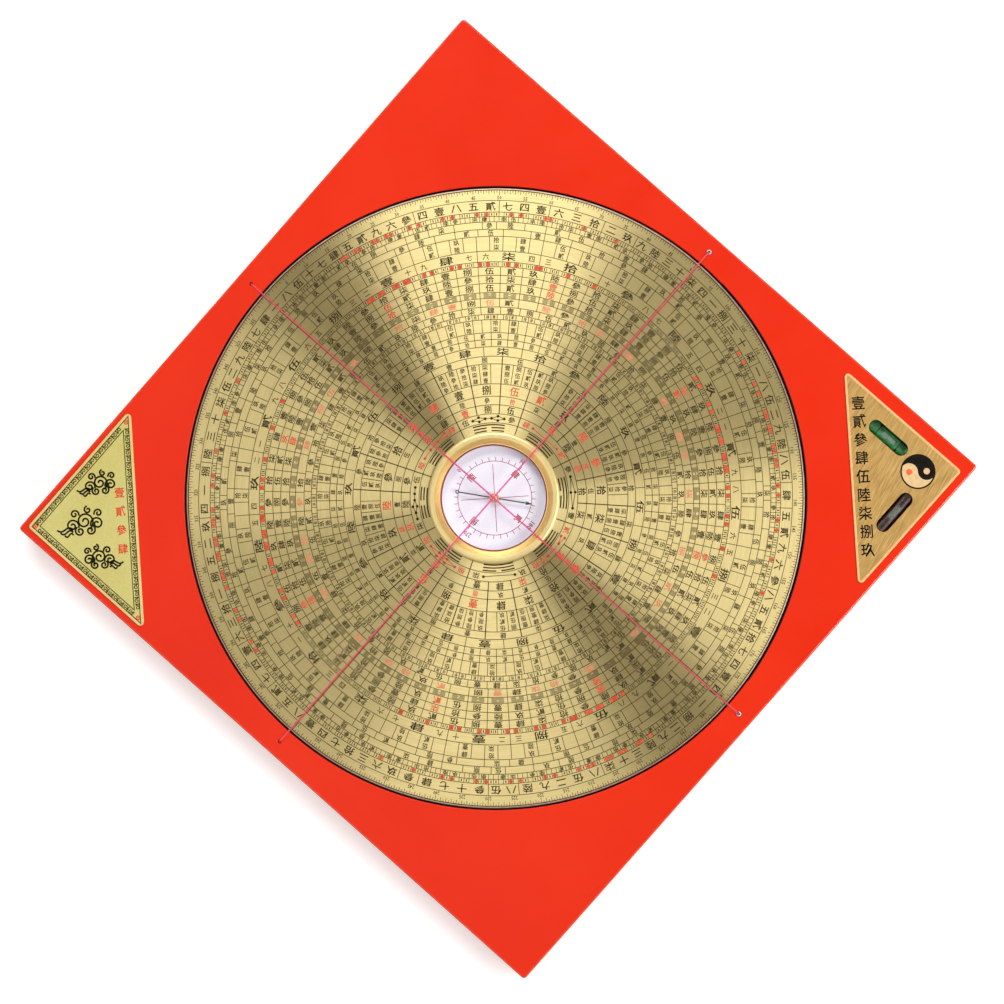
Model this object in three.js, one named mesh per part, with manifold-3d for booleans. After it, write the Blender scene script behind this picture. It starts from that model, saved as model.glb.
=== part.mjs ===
// A Chinese compass: a square lacquered board, a round brass-faced dial that turns in the board's
// recess, a needle compass in the dial's middle, two cross threads, two corner plates and two vials.
// Millimetres, +Z up. The origin is the middle of the board's underside, X and Y run along its sides.

import * as THREE from 'three';
import { mergeVertices } from 'three/addons/utils/BufferGeometryUtils.js';
import Module from 'manifold-3d';

// Board
const BOARD_SIDE = 286;
const BOARD_THICK = 20;
const BOARD_CORNER_R = 1.6;
const BOARD_EDGE_BEVEL = 0.8;
const RIM_WIDTH = 12.1; // between the recess and the board's side, at the middle of a side
const RECESS_FLOOR = 6;
const RECESS_CHAMFER = 0.4;

// Dial
const DIAL_SIDE_GAP = 0.6;
const DIAL_RUN_GAP = 0.3; // under the dial
const DIAL_DROP = 1.3; // from the board's top down to the dial's face
const DIAL_PLATE_THICK = 1;
const DIAL_EDGE_BEVEL = 0.6;
const DIAL_BASE_INSET = 0.4; // the wood stops this far inside the brass plate's edge
const DIAL_BASE_BEVEL = 1;

// Compass in the middle of the dial
const VIEW_R = 21.9; // the card that shows inside the gasket
const GASKET_SHOW = 0.6; // how much of the gasket shows inside the bezel
const GASKET_THICK = 0.3;
const GLASS_THICK = 0.8;
const GLASS_SEAT = 1.1; // how far the glass reaches under the bezel
const CASE_WALL = 1.3;
const CASE_FLOOR = 1.2;
const CASE_LIP = 0.2; // the cup's wall above the wood
const BEZEL_WIDTH = 5.2; // of the ring that shows, outside the gasket
const BEZEL_RISE = 1.2; // above the dial's face
const BEZEL_EDGE_RISE = 0.4; // the straight outer edge, under the crown
const BEZEL_INNER_DROP = 0.4; // from the crown down to the inner edge
const CARD_DROP = 5.2; // from the dial's face down to the card
const CARD_THICK = 0.5;

// Needle and its pivot
const NEEDLE_LENGTH = 33.3;
const NEEDLE_WIDTH = 0.5;
const NEEDLE_THICK = 0.3;
const NEEDLE_HEADING_DEG = 32; // from +X, as the needle lies in the photograph
const NEEDLE_HEIGHT_SHARE = 0.45; // of the room between card and glass
const ARROW_LENGTH = 3.4;
const ARROW_WIDTH = 1.6;
const TAIL_RING_R = 0.8;
const TAIL_RING_HOLE_R = 0.4;
const HUB_WALL = 0.45;
const CAP_R = 1.4;
const CAP_FLANGE_R = 1.9;
const CAP_FLANGE_THICK = 0.3;
const CAP_RISE = 1.2; // above the blade's underside
const CAP_ROOF = 0.35;
const CAP_WALL = 0.45;
const JEWEL_THICK = 0.6;
const JEWEL_RIM = 0.25;
const JEWEL_CUP_DEPTH = 0.4;
const PIN_R = 0.4;
const PIN_POINT_LENGTH = 1;
const PIN_TIP_GAP = 0.3;
const BOSS_R = 2;
const BOSS_RISE = 0.8;
const BOSS_SHANK_R = 1.2;

// Corner plates
const PLATE_THICK = 0.5;
const PLATE_CORNER_R = 1.6;
const LEVEL_PLATE_MARGIN_X = 3.7; // from the board's side across X
const LEVEL_PLATE_MARGIN_Y = 5.9;
const LEVEL_PLATE_CLEAR = 18.6; // between the recess and the plate's long edge
const EMBLEM_PLATE_MARGIN_X = 2.6;
const EMBLEM_PLATE_MARGIN_Y = 3.3;
const EMBLEM_PLATE_CLEAR = 20.1;

// Vials, whose places are shares of the level plate's leg, from its right-angled corner
const GREEN_VIAL_PLACE_SHARES = [0.492, 0.148];
const RED_VIAL_PLACE_SHARES = [0.148, 0.481];
const WINDOW_LENGTH = 19.7;
const WINDOW_WIDTH = 5.8;
const VIAL_OVERLAP = 2.1; // the tube's length hidden past each end of the window
const VIAL_R = 4;
const VIAL_WALL = 0.9;
const VIAL_END_WALL = 2;
const VIAL_PLUG_LENGTH = 2;
const VIAL_DROP = 0.4; // under the plate's underside
const BUBBLE_LENGTH = 7.5;
const BUBBLE_R = 1.3;
const CHANNEL_END_WALL = 1;

// Cross threads
const THREAD_R = 0.42;
const THREAD_ANCHOR_INSET = 6.3; // from the board's side to the anchor hole's middle
const THREAD_LIFT = 0.15; // under the thread, and between the two threads
const THREAD_BEND_R = 0.9;
const THREAD_HOLE_R = 0.7;
const HOLE_CHAMFER = 0.3;
const KNOT_R = 1.5;
const KNOT_ROOM_R = 2.4;
const KNOT_ROOM_DEPTH = 4;
const PLUG_R = 1.05;
const PLUG_DEPTH = 6;
const PLUG_DOME = 0.95; // the plug's top above the board

// Clearances
const FIT_GAP = 0.3; // round pieces in round seats
const SNUG_GAP = 0.15; // small pieces pressed or glued in
const GLUE_LINE = 0.1; // flat pieces glued on flat seats
const CUT_OVERRUN = 2; // how far a cutter reaches past the face it cuts

// Number of sides and steps of the round pieces
const DIAL_SIDES = 96;
const CASE_SIDES = 60;
const SMALL_SIDES = 16;
const THREAD_SIDES = 8;
const CORNER_STEPS = 5;
const BEND_STEPS = 5;
const CROWN_STEPS = 4;
const SPAN_STEPS = 24; // an even number, so that one step lies at the crossing
const CAPSULE_STEPS = 4;

// Radii and levels that follow from the sizes above
const HALF_SIDE = BOARD_SIDE / 2;
const RECESS_R = HALF_SIDE - RIM_WIDTH;
const DIAL_R = RECESS_R - DIAL_SIDE_GAP;
const DIAL_FACE_Z = BOARD_THICK - DIAL_DROP;
const DIAL_PLATE_Z = DIAL_FACE_Z - DIAL_PLATE_THICK;
const DIAL_BASE_TOP_Z = DIAL_PLATE_Z - GLUE_LINE;
const DIAL_BASE_Z = RECESS_FLOOR + DIAL_RUN_GAP;

const BEZEL_INNER_R = VIEW_R + GASKET_SHOW;
const BEZEL_R = BEZEL_INNER_R + BEZEL_WIDTH;
const GLASS_R = BEZEL_INNER_R + GLASS_SEAT;
const CASE_INNER_R = VIEW_R + GASKET_SHOW + SNUG_GAP;
const CASE_R = CASE_INNER_R + CASE_WALL;
const CASE_SEAT_R = CASE_R + FIT_GAP;
const CARD_TOP_Z = DIAL_FACE_Z - CARD_DROP;
const CARD_Z = CARD_TOP_Z - CARD_THICK;
const CASE_FLOOR_Z = CARD_Z - GLUE_LINE;
const CASE_Z = CASE_FLOOR_Z - CASE_FLOOR;
const CASE_SEAT_Z = CASE_Z - GLUE_LINE;
const CASE_TOP_Z = DIAL_PLATE_Z + CASE_LIP;
const GASKET_Z = CASE_TOP_Z + GLUE_LINE;
const GLASS_Z = GASKET_Z + GASKET_THICK + GLUE_LINE;
const GLASS_TOP_Z = GLASS_Z + GLASS_THICK;
const BEZEL_TOP_Z = DIAL_FACE_Z + BEZEL_RISE;

const NEEDLE_Z = CARD_TOP_Z + (GLASS_Z - CARD_TOP_Z) * NEEDLE_HEIGHT_SHARE;
const BLADE_Z = NEEDLE_Z + GLUE_LINE;
const CAP_TOP_Z = NEEDLE_Z + CAP_RISE;
const CAP_BORE_R = CAP_R - CAP_WALL;
const CAP_BORE_TOP_Z = CAP_TOP_Z - CAP_ROOF;
const JEWEL_TOP_Z = CAP_BORE_TOP_Z - GLUE_LINE;
const JEWEL_Z = JEWEL_TOP_Z - JEWEL_THICK;
const PIN_TOP_Z = JEWEL_Z + JEWEL_CUP_DEPTH - PIN_TIP_GAP;

const PLATE_Z = BOARD_THICK + GLUE_LINE;
const VIAL_AXIS_Z = BOARD_THICK - VIAL_DROP - VIAL_R;
const VIAL_LENGTH = WINDOW_LENGTH + 2 * VIAL_OVERLAP;
const VIAL_BORE_R = VIAL_R - VIAL_WALL;
const LIQUID_LENGTH = VIAL_LENGTH - VIAL_END_WALL - VIAL_PLUG_LENGTH - 2 * SNUG_GAP;
const BUBBLE_LIFT = VIAL_BORE_R - FIT_GAP - BUBBLE_R; // the bubble's axis above the tube's axis

const THREAD_ANCHOR = HALF_SIDE - THREAD_ANCHOR_INSET;
const THREAD_Z = BOARD_THICK + THREAD_LIFT + THREAD_R;
const CROSSING_RISE = 2 * THREAD_R + THREAD_LIFT;
const PLUG_HOLE_R = PLUG_R + SNUG_GAP;

const manifold = await Module();
manifold.setup();

// Closed solid of a closed geometry, for joining and cutting
function solidOf(geometry) {
  const bare = geometry.clone();
  bare.deleteAttribute('normal');
  bare.deleteAttribute('uv');
  const merged = mergeVertices(bare);
  const corners = merged.index.array;
  const triangles = [];
  for (let i = 0; i < corners.length; i += 3) {
    const [a, b, c] = [corners[i], corners[i + 1], corners[i + 2]];
    if (a !== b && b !== c && c !== a) triangles.push(a, b, c);
  }
  return new manifold.Manifold(new manifold.Mesh({
    numProp: 3,
    vertProperties: new Float32Array(merged.attributes.position.array),
    triVerts: new Uint32Array(triangles),
  }));
}

function geometryOf(solid) {
  const mesh = solid.getMesh();
  const geometry = new THREE.BufferGeometry();
  geometry.setAttribute('position', new THREE.BufferAttribute(mesh.vertProperties, 3));
  geometry.setIndex(new THREE.BufferAttribute(mesh.triVerts, 1));
  geometry.computeVertexNormals();
  return geometry;
}

function cut(body, cutters) {
  let solid = solidOf(body);
  for (const cutter of cutters) solid = solid.subtract(solidOf(cutter));
  return geometryOf(solid);
}

function join(bodies) {
  let solid = solidOf(bodies[0]);
  for (const body of bodies.slice(1)) solid = solid.add(solidOf(body));
  return geometryOf(solid);
}

// Solid of revolution about Z. The profile's [radius, height] points run round it with the
// material on their left: they start and end on the axis, or the profile closes on itself.
function turned(profile, sides) {
  const points = profile.map(([radius, height]) => new THREE.Vector2(radius, height));
  return new THREE.LatheGeometry(points, sides).rotateX(Math.PI / 2);
}

function turnedRing(profile, sides) {
  return turned([...profile, profile[0]], sides);
}

function disc(radius, bottomZ, topZ, sides) {
  return turned([[0, bottomZ], [radius, bottomZ], [radius, topZ], [0, topZ]], sides);
}

function flatRing(innerR, outerR, bottomZ, topZ, sides) {
  return turnedRing([[innerR, bottomZ], [outerR, bottomZ], [outerR, topZ], [innerR, topZ]], sides);
}

// Outline through the given corners, anticlockwise, each corner rounded to the same radius
function roundedOutline(corners, radius) {
  const shape = new THREE.Shape();
  corners.forEach((corner, i) => {
    const before = corners[(i + corners.length - 1) % corners.length];
    const after = corners[(i + 1) % corners.length];
    const inward = corner.clone().sub(before).normalize();
    const outward = after.clone().sub(corner).normalize();
    const turn = Math.acos(THREE.MathUtils.clamp(inward.dot(outward), -1, 1));
    const start = corner.clone().addScaledVector(inward, -radius * Math.tan(turn / 2));
    const centre = start.clone().add(new THREE.Vector2(-inward.y, inward.x).multiplyScalar(radius));
    const startAngle = Math.atan2(-inward.x, inward.y);
    shape.absarc(centre.x, centre.y, radius, startAngle, startAngle + turn, false);
  });
  shape.closePath();
  return shape;
}

function slab(shape, bottomZ, thickness) {
  const options = { depth: thickness, bevelEnabled: false, curveSegments: CORNER_STEPS };
  return new THREE.ExtrudeGeometry(shape, options).translate(0, 0, bottomZ);
}

function block(sizeX, sizeY, bottomZ, topZ) {
  const height = topZ - bottomZ;
  return new THREE.BoxGeometry(sizeX, sizeY, height).translate(0, 0, bottomZ + height / 2);
}

function material(color, roughness, metalness) {
  return new THREE.MeshStandardMaterial({ color, roughness, metalness });
}

function clearMaterial(color, roughness, opacity) {
  return new THREE.MeshStandardMaterial({ color, roughness, opacity, transparent: true });
}

function addPiece(group, name, geometry, pieceMaterial) {
  const mesh = new THREE.Mesh(geometry, pieceMaterial);
  mesh.name = name;
  group.add(mesh);
}

// The four anchors: the threads are plugged at the +X and +Y ends, and only knotted at the others
const ANCHORS = [
  { x: THREAD_ANCHOR, y: 0, plugged: true },
  { x: 0, y: THREAD_ANCHOR, plugged: true },
  { x: -THREAD_ANCHOR, y: 0, plugged: false },
  { x: 0, y: -THREAD_ANCHOR, plugged: false },
];

function anchorCutter({ x, y, plugged }) {
  const holeR = plugged ? PLUG_HOLE_R : THREAD_HOLE_R;
  const mouthR = holeR + HOLE_CHAMFER;
  return turned([
    [0, -CUT_OVERRUN],
    [KNOT_ROOM_R, -CUT_OVERRUN],
    [KNOT_ROOM_R, KNOT_ROOM_DEPTH],
    [holeR, KNOT_ROOM_DEPTH],
    [holeR, BOARD_THICK - HOLE_CHAMFER],
    [mouthR, BOARD_THICK],
    [mouthR, BOARD_THICK + CUT_OVERRUN],
    [0, BOARD_THICK + CUT_OVERRUN],
  ], SMALL_SIDES).translate(x, y, 0);
}

function recessCutter() {
  return turned([
    [0, RECESS_FLOOR],
    [RECESS_R, RECESS_FLOOR],
    [RECESS_R, BOARD_THICK - RECESS_CHAMFER],
    [RECESS_R + RECESS_CHAMFER, BOARD_THICK],
    [RECESS_R + RECESS_CHAMFER, BOARD_THICK + CUT_OVERRUN],
    [0, BOARD_THICK + CUT_OVERRUN],
  ], DIAL_SIDES);
}

// Right-angled corner and leg of a plate in the board's +X +Y corner, whose long edge stays clear
// of the recess
function platePlace(marginX, marginY, clear) {
  const x = HALF_SIDE - marginX;
  const y = HALF_SIDE - marginY;
  return { x, y, leg: x + y - Math.SQRT2 * (RECESS_R + clear) };
}

const LEVEL_PLATE = platePlace(LEVEL_PLATE_MARGIN_X, LEVEL_PLATE_MARGIN_Y, LEVEL_PLATE_CLEAR);
const EMBLEM_PLATE = platePlace(EMBLEM_PLATE_MARGIN_X, EMBLEM_PLATE_MARGIN_Y, EMBLEM_PLATE_CLEAR);

function vialPlace([shareX, shareY], turnedQuarter) {
  return {
    x: LEVEL_PLATE.x - shareX * LEVEL_PLATE.leg,
    y: LEVEL_PLATE.y - shareY * LEVEL_PLATE.leg,
    turnedQuarter,
  };
}

const GREEN_VIAL = vialPlace(GREEN_VIAL_PLACE_SHARES, false);
const RED_VIAL = vialPlace(RED_VIAL_PLACE_SHARES, true);

function vialPocketCutter({ x, y, turnedQuarter }) {
  const length = VIAL_LENGTH + 2 * FIT_GAP;
  const width = 2 * (VIAL_R + FIT_GAP);
  const bottomZ = VIAL_AXIS_Z - VIAL_R - FIT_GAP;
  const pocket = turnedQuarter
    ? block(width, length, bottomZ, BOARD_THICK + CUT_OVERRUN)
    : block(length, width, bottomZ, BOARD_THICK + CUT_OVERRUN);
  return pocket.translate(x, y, 0);
}

function boardGeometry() {
  const corners = [[-1, -1], [1, -1], [1, 1], [-1, 1]]
    .map(([x, y]) => new THREE.Vector2(x * HALF_SIDE, y * HALF_SIDE));
  const body = new THREE.ExtrudeGeometry(roundedOutline(corners, BOARD_CORNER_R), {
    depth: BOARD_THICK - 2 * BOARD_EDGE_BEVEL,
    bevelThickness: BOARD_EDGE_BEVEL,
    bevelSize: BOARD_EDGE_BEVEL,
    bevelOffset: -BOARD_EDGE_BEVEL,
    bevelSegments: 1,
    curveSegments: CORNER_STEPS,
  }).translate(0, 0, BOARD_EDGE_BEVEL);
  return cut(body, [
    recessCutter(),
    ...ANCHORS.map(anchorCutter),
    vialPocketCutter(GREEN_VIAL),
    vialPocketCutter(RED_VIAL),
  ]);
}

function windowPath({ x, y, turnedQuarter }) {
  const endR = WINDOW_WIDTH / 2;
  const reach = WINDOW_LENGTH / 2 - endR;
  const [reachX, reachY] = turnedQuarter ? [0, reach] : [reach, 0];
  const start = turnedQuarter ? 0 : -Math.PI / 2;
  const path = new THREE.Path();
  path.absarc(x + reachX, y + reachY, endR, start, start + Math.PI, false);
  path.absarc(x - reachX, y - reachY, endR, start + Math.PI, start + 2 * Math.PI, false);
  path.closePath();
  return path;
}

// Right-angled plate with equal legs along the board's sides: sign 1 puts it in the board's +X +Y
// corner, and -1 in the opposite one
function cornerPlateShape({ x, y, leg }, sign) {
  const corners = [[x, y], [x - leg, y], [x, y - leg]]
    .map(([cornerX, cornerY]) => new THREE.Vector2(sign * cornerX, sign * cornerY));
  return roundedOutline(corners, PLATE_CORNER_R);
}

function levelPlateGeometry() {
  const shape = cornerPlateShape(LEVEL_PLATE, 1);
  shape.holes.push(windowPath(GREEN_VIAL), windowPath(RED_VIAL));
  return slab(shape, PLATE_Z, PLATE_THICK);
}

function emblemPlateGeometry() {
  return slab(cornerPlateShape(EMBLEM_PLATE, -1), PLATE_Z, PLATE_THICK);
}

// A vial lies along X about its own origin: tube with one closed end, plug, liquid and bubble
function alongX(geometry) {
  return geometry.rotateY(Math.PI / 2);
}

function vialTubeGeometry() {
  const half = VIAL_LENGTH / 2;
  return alongX(turned([
    [0, -half],
    [VIAL_R, -half],
    [VIAL_R, half],
    [VIAL_BORE_R, half],
    [VIAL_BORE_R, -half + VIAL_END_WALL],
    [0, -half + VIAL_END_WALL],
  ], SMALL_SIDES));
}

function vialPlugGeometry() {
  const half = VIAL_LENGTH / 2;
  return alongX(disc(VIAL_BORE_R - SNUG_GAP, half - VIAL_PLUG_LENGTH, half, SMALL_SIDES));
}

function vialLiquidGeometry() {
  const start = -VIAL_LENGTH / 2 + VIAL_END_WALL + SNUG_GAP;
  const body = alongX(disc(VIAL_BORE_R - SNUG_GAP, start, start + LIQUID_LENGTH, SMALL_SIDES));
  const channelLength = LIQUID_LENGTH - 2 * CHANNEL_END_WALL;
  const channelWidth = 2 * (BUBBLE_R + FIT_GAP);
  const channelZ = BUBBLE_LIFT - BUBBLE_R - FIT_GAP;
  const channel = block(channelLength, channelWidth, channelZ, VIAL_R)
    .translate(start + LIQUID_LENGTH / 2, 0, 0);
  return cut(body, [channel]);
}

function vialBubbleGeometry() {
  const middle = (VIAL_END_WALL - VIAL_PLUG_LENGTH) / 2;
  const straight = BUBBLE_LENGTH - 2 * BUBBLE_R;
  return new THREE.CapsuleGeometry(BUBBLE_R, straight, CAPSULE_STEPS, SMALL_SIDES)
    .rotateZ(Math.PI / 2)
    .translate(middle, 0, BUBBLE_LIFT);
}

function addVial(group, name, place, liquidColor) {
  const vial = new THREE.Group();
  vial.position.set(place.x, place.y, VIAL_AXIS_Z);
  vial.rotation.z = place.turnedQuarter ? Math.PI / 2 : 0;
  addPiece(vial, `${name}_vial_tube`, vialTubeGeometry(), clearMaterial(0xdfe8e2, 0.05, 0.4));
  addPiece(vial, `${name}_vial_plug`, vialPlugGeometry(), material(0x2b2b2b, 0.6, 0));
  addPiece(vial, `${name}_vial_liquid`, vialLiquidGeometry(), clearMaterial(liquidColor, 0.1, 0.8));
  addPiece(vial, `${name}_vial_bubble`, vialBubbleGeometry(), clearMaterial(0xf0f4ee, 0.05, 0.4));
  group.add(vial);
}

// A thread's centre line, given as points. Each step of the tube runs from one point to the next.
class ThreadRoute extends THREE.Curve {
  constructor(points) {
    super();
    this.points = points;
  }

  getPoint(t, target = new THREE.Vector3()) {
    const place = t * (this.points.length - 1);
    const index = Math.min(Math.floor(place), this.points.length - 2);
    return target.lerpVectors(this.points[index], this.points[index + 1], place - index);
  }

  getPointAt(u, target) {
    return this.getPoint(u, target);
  }

  getTangentAt(u, target = new THREE.Vector3()) {
    const step = 1 / (this.points.length - 1) / 2;
    const ahead = this.getPoint(Math.min(u + step, 1));
    const behind = this.getPoint(Math.max(u - step, 0));
    return target.copy(ahead).sub(behind).normalize();
  }
}

// Half of a thread's route, from the crossing out to the knot, along +X
function halfRoute(crossingZ) {
  const points = [];
  const spanEnd = THREAD_ANCHOR - THREAD_BEND_R;
  for (let i = 0; i <= SPAN_STEPS / 2; i += 1) {
    const share = i / (SPAN_STEPS / 2);
    const z = THREE.MathUtils.lerp(crossingZ, THREAD_Z, share);
    points.push(new THREE.Vector3(share * spanEnd, 0, z));
  }
  for (let i = 1; i <= BEND_STEPS; i += 1) {
    const angle = (i / BEND_STEPS) * (Math.PI / 2);
    const x = spanEnd + THREAD_BEND_R * Math.sin(angle);
    points.push(new THREE.Vector3(x, 0, THREAD_Z - THREAD_BEND_R * (1 - Math.cos(angle))));
  }
  points.push(new THREE.Vector3(THREAD_ANCHOR, 0, KNOT_ROOM_DEPTH - FIT_GAP - KNOT_R));
  return points;
}

// Whole thread along X, knotted at both ends under the board
function threadGeometry(crossingZ) {
  const half = halfRoute(crossingZ);
  const otherHalf = half.slice(1).map((point) => new THREE.Vector3(-point.x, 0, point.z));
  const points = [...otherHalf.reverse(), ...half];
  const section = new THREE.Shape();
  for (let i = 0; i < THREAD_SIDES; i += 1) {
    const angle = (i / THREAD_SIDES) * 2 * Math.PI;
    const x = THREAD_R * Math.cos(angle);
    const y = THREAD_R * Math.sin(angle);
    if (i === 0) section.moveTo(x, y);
    else section.lineTo(x, y);
  }
  section.closePath();
  const tube = new THREE.ExtrudeGeometry(section, {
    steps: points.length - 1,
    extrudePath: new ThreadRoute(points),
  });
  const ends = [points[0], points[points.length - 1]];
  const knots = ends.map((end) => new THREE.SphereGeometry(KNOT_R, SMALL_SIDES, SMALL_SIDES / 2)
    .translate(end.x, end.y, end.z));
  return join([tube, ...knots]);
}

// Slotted plug that holds a thread in its hole: the slot opens towards the crossing, along -X
function threadPlugGeometry() {
  const bottomZ = BOARD_THICK - PLUG_DEPTH;
  const body = turned([
    [0, bottomZ],
    [PLUG_R, bottomZ],
    [PLUG_R, BOARD_THICK + PLUG_DOME - PLUG_R / 2],
    [PLUG_R * Math.SQRT1_2, BOARD_THICK + PLUG_DOME - PLUG_R / 2 * (1 - Math.SQRT1_2)],
    [0, BOARD_THICK + PLUG_DOME],
  ], SMALL_SIDES);
  const slotWidth = 2 * (THREAD_R + SNUG_GAP);
  const slotLength = PLUG_R + CUT_OVERRUN;
  const slotX = slotWidth / 2 - slotLength / 2;
  const slot = block(slotLength, slotWidth, bottomZ - CUT_OVERRUN, BOARD_THICK + CUT_OVERRUN)
    .translate(slotX, 0, 0);
  return cut(body, [slot]);
}

function dialPlateGeometry() {
  return turnedRing([
    [CASE_SEAT_R, DIAL_PLATE_Z],
    [DIAL_R, DIAL_PLATE_Z],
    [DIAL_R, DIAL_FACE_Z - DIAL_EDGE_BEVEL],
    [DIAL_R - DIAL_EDGE_BEVEL, DIAL_FACE_Z],
    [CASE_SEAT_R, DIAL_FACE_Z],
  ], DIAL_SIDES);
}

function dialBaseGeometry() {
  const outerR = DIAL_R - DIAL_BASE_INSET;
  return turned([
    [0, DIAL_BASE_Z],
    [outerR - DIAL_BASE_BEVEL, DIAL_BASE_Z],
    [outerR, DIAL_BASE_Z + DIAL_BASE_BEVEL],
    [outerR, DIAL_BASE_TOP_Z],
    [CASE_SEAT_R, DIAL_BASE_TOP_Z],
    [CASE_SEAT_R, CASE_SEAT_Z],
    [0, CASE_SEAT_Z],
  ], DIAL_SIDES);
}

function compassCaseGeometry() {
  return turned([
    [0, CASE_Z],
    [CASE_R, CASE_Z],
    [CASE_R, CASE_TOP_Z],
    [CASE_INNER_R, CASE_TOP_Z],
    [CASE_INNER_R, CASE_FLOOR_Z],
    [0, CASE_FLOOR_Z],
  ], CASE_SIDES);
}

// Rounded crown from the bezel's outer edge over the top to its inner edge
function bezelCrown() {
  const crownR = (BEZEL_INNER_R + BEZEL_R) / 2;
  const outerZ = DIAL_FACE_Z + BEZEL_EDGE_RISE;
  const innerZ = BEZEL_TOP_Z - BEZEL_INNER_DROP;
  const points = [];
  for (let i = 0; i <= 2 * CROWN_STEPS; i += 1) {
    const angle = (i / CROWN_STEPS) * (Math.PI / 2);
    const footZ = i < CROWN_STEPS ? outerZ : innerZ;
    const radius = crownR + (BEZEL_R - crownR) * Math.cos(angle);
    points.push([radius, footZ + (BEZEL_TOP_Z - footZ) * Math.sin(angle)]);
  }
  return points;
}

// The bezel sits on the dial's face and its lip reaches in over the edge of the glass
function bezelGeometry() {
  return turnedRing([
    [GLASS_R + SNUG_GAP, DIAL_FACE_Z + GLUE_LINE],
    [BEZEL_R, DIAL_FACE_Z + GLUE_LINE],
    ...bezelCrown(),
    [BEZEL_INNER_R, GLASS_TOP_Z + GLUE_LINE],
    [GLASS_R + SNUG_GAP, GLASS_TOP_Z + GLUE_LINE],
  ], CASE_SIDES);
}

function cardGeometry() {
  return flatRing(BOSS_SHANK_R + FIT_GAP, CASE_INNER_R - FIT_GAP, CARD_Z, CARD_TOP_Z, CASE_SIDES);
}

// The boss stands on the cup's floor through the card, and holds the pin
function pivotBossGeometry() {
  return turned([
    [0, CARD_Z],
    [BOSS_SHANK_R, CARD_Z],
    [BOSS_SHANK_R, CARD_TOP_Z + GLUE_LINE],
    [BOSS_R, CARD_TOP_Z + GLUE_LINE],
    [BOSS_R, CARD_TOP_Z + GLUE_LINE + BOSS_RISE],
    [PIN_R + SNUG_GAP, CARD_TOP_Z + GLUE_LINE + BOSS_RISE],
    [PIN_R + SNUG_GAP, CARD_TOP_Z],
    [0, CARD_TOP_Z],
  ], SMALL_SIDES);
}

function pivotPinGeometry() {
  return turned([
    [0, CARD_TOP_Z + GLUE_LINE],
    [PIN_R, CARD_TOP_Z + GLUE_LINE],
    [PIN_R, PIN_TOP_Z - PIN_POINT_LENGTH],
    [0, PIN_TOP_Z],
  ], SMALL_SIDES);
}

// Flat blade along X: arrow at +X, ring at -X and a round hub that the cap sits in
function needleBladeGeometry() {
  const half = NEEDLE_LENGTH / 2;
  const boreR = CAP_R + SNUG_GAP;
  const bar = new THREE.Shape();
  bar.moveTo(-half + TAIL_RING_R, -NEEDLE_WIDTH / 2);
  bar.lineTo(half - ARROW_LENGTH, -NEEDLE_WIDTH / 2);
  bar.lineTo(half - ARROW_LENGTH, -ARROW_WIDTH / 2);
  bar.lineTo(half, 0);
  bar.lineTo(half - ARROW_LENGTH, ARROW_WIDTH / 2);
  bar.lineTo(half - ARROW_LENGTH, NEEDLE_WIDTH / 2);
  bar.lineTo(-half + TAIL_RING_R, NEEDLE_WIDTH / 2);
  bar.closePath();
  const top = BLADE_Z + NEEDLE_THICK;
  const tail = disc(TAIL_RING_R, BLADE_Z, top, SMALL_SIDES).translate(-half + TAIL_RING_R, 0, 0);
  const tailHole = disc(TAIL_RING_HOLE_R, BLADE_Z - CUT_OVERRUN, top + CUT_OVERRUN, SMALL_SIDES)
    .translate(-half + TAIL_RING_R, 0, 0);
  const hub = disc(boreR + HUB_WALL, BLADE_Z, top, SMALL_SIDES);
  const bore = disc(boreR, BLADE_Z - CUT_OVERRUN, top + CUT_OVERRUN, SMALL_SIDES);
  const blade = join([slab(bar, BLADE_Z, NEEDLE_THICK), tail, hub]);
  return cut(blade, [tailHole, bore]);
}

function needleCapGeometry() {
  return turned([
    [CAP_BORE_R, NEEDLE_Z - CAP_FLANGE_THICK],
    [CAP_FLANGE_R, NEEDLE_Z - CAP_FLANGE_THICK],
    [CAP_FLANGE_R, NEEDLE_Z],
    [CAP_R, NEEDLE_Z],
    [CAP_R, CAP_TOP_Z - CAP_WALL],
    [CAP_R - CAP_WALL, CAP_TOP_Z],
    [0, CAP_TOP_Z],
    [0, CAP_BORE_TOP_Z],
    [CAP_BORE_R, CAP_BORE_TOP_Z],
    [CAP_BORE_R, NEEDLE_Z - CAP_FLANGE_THICK],
  ], SMALL_SIDES);
}

function needleJewelGeometry() {
  const jewelR = CAP_BORE_R - SNUG_GAP;
  return turned([
    [0, JEWEL_Z + JEWEL_CUP_DEPTH],
    [jewelR - JEWEL_RIM, JEWEL_Z],
    [jewelR, JEWEL_Z],
    [jewelR, JEWEL_TOP_Z],
    [0, JEWEL_TOP_Z],
  ], SMALL_SIDES);
}

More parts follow.
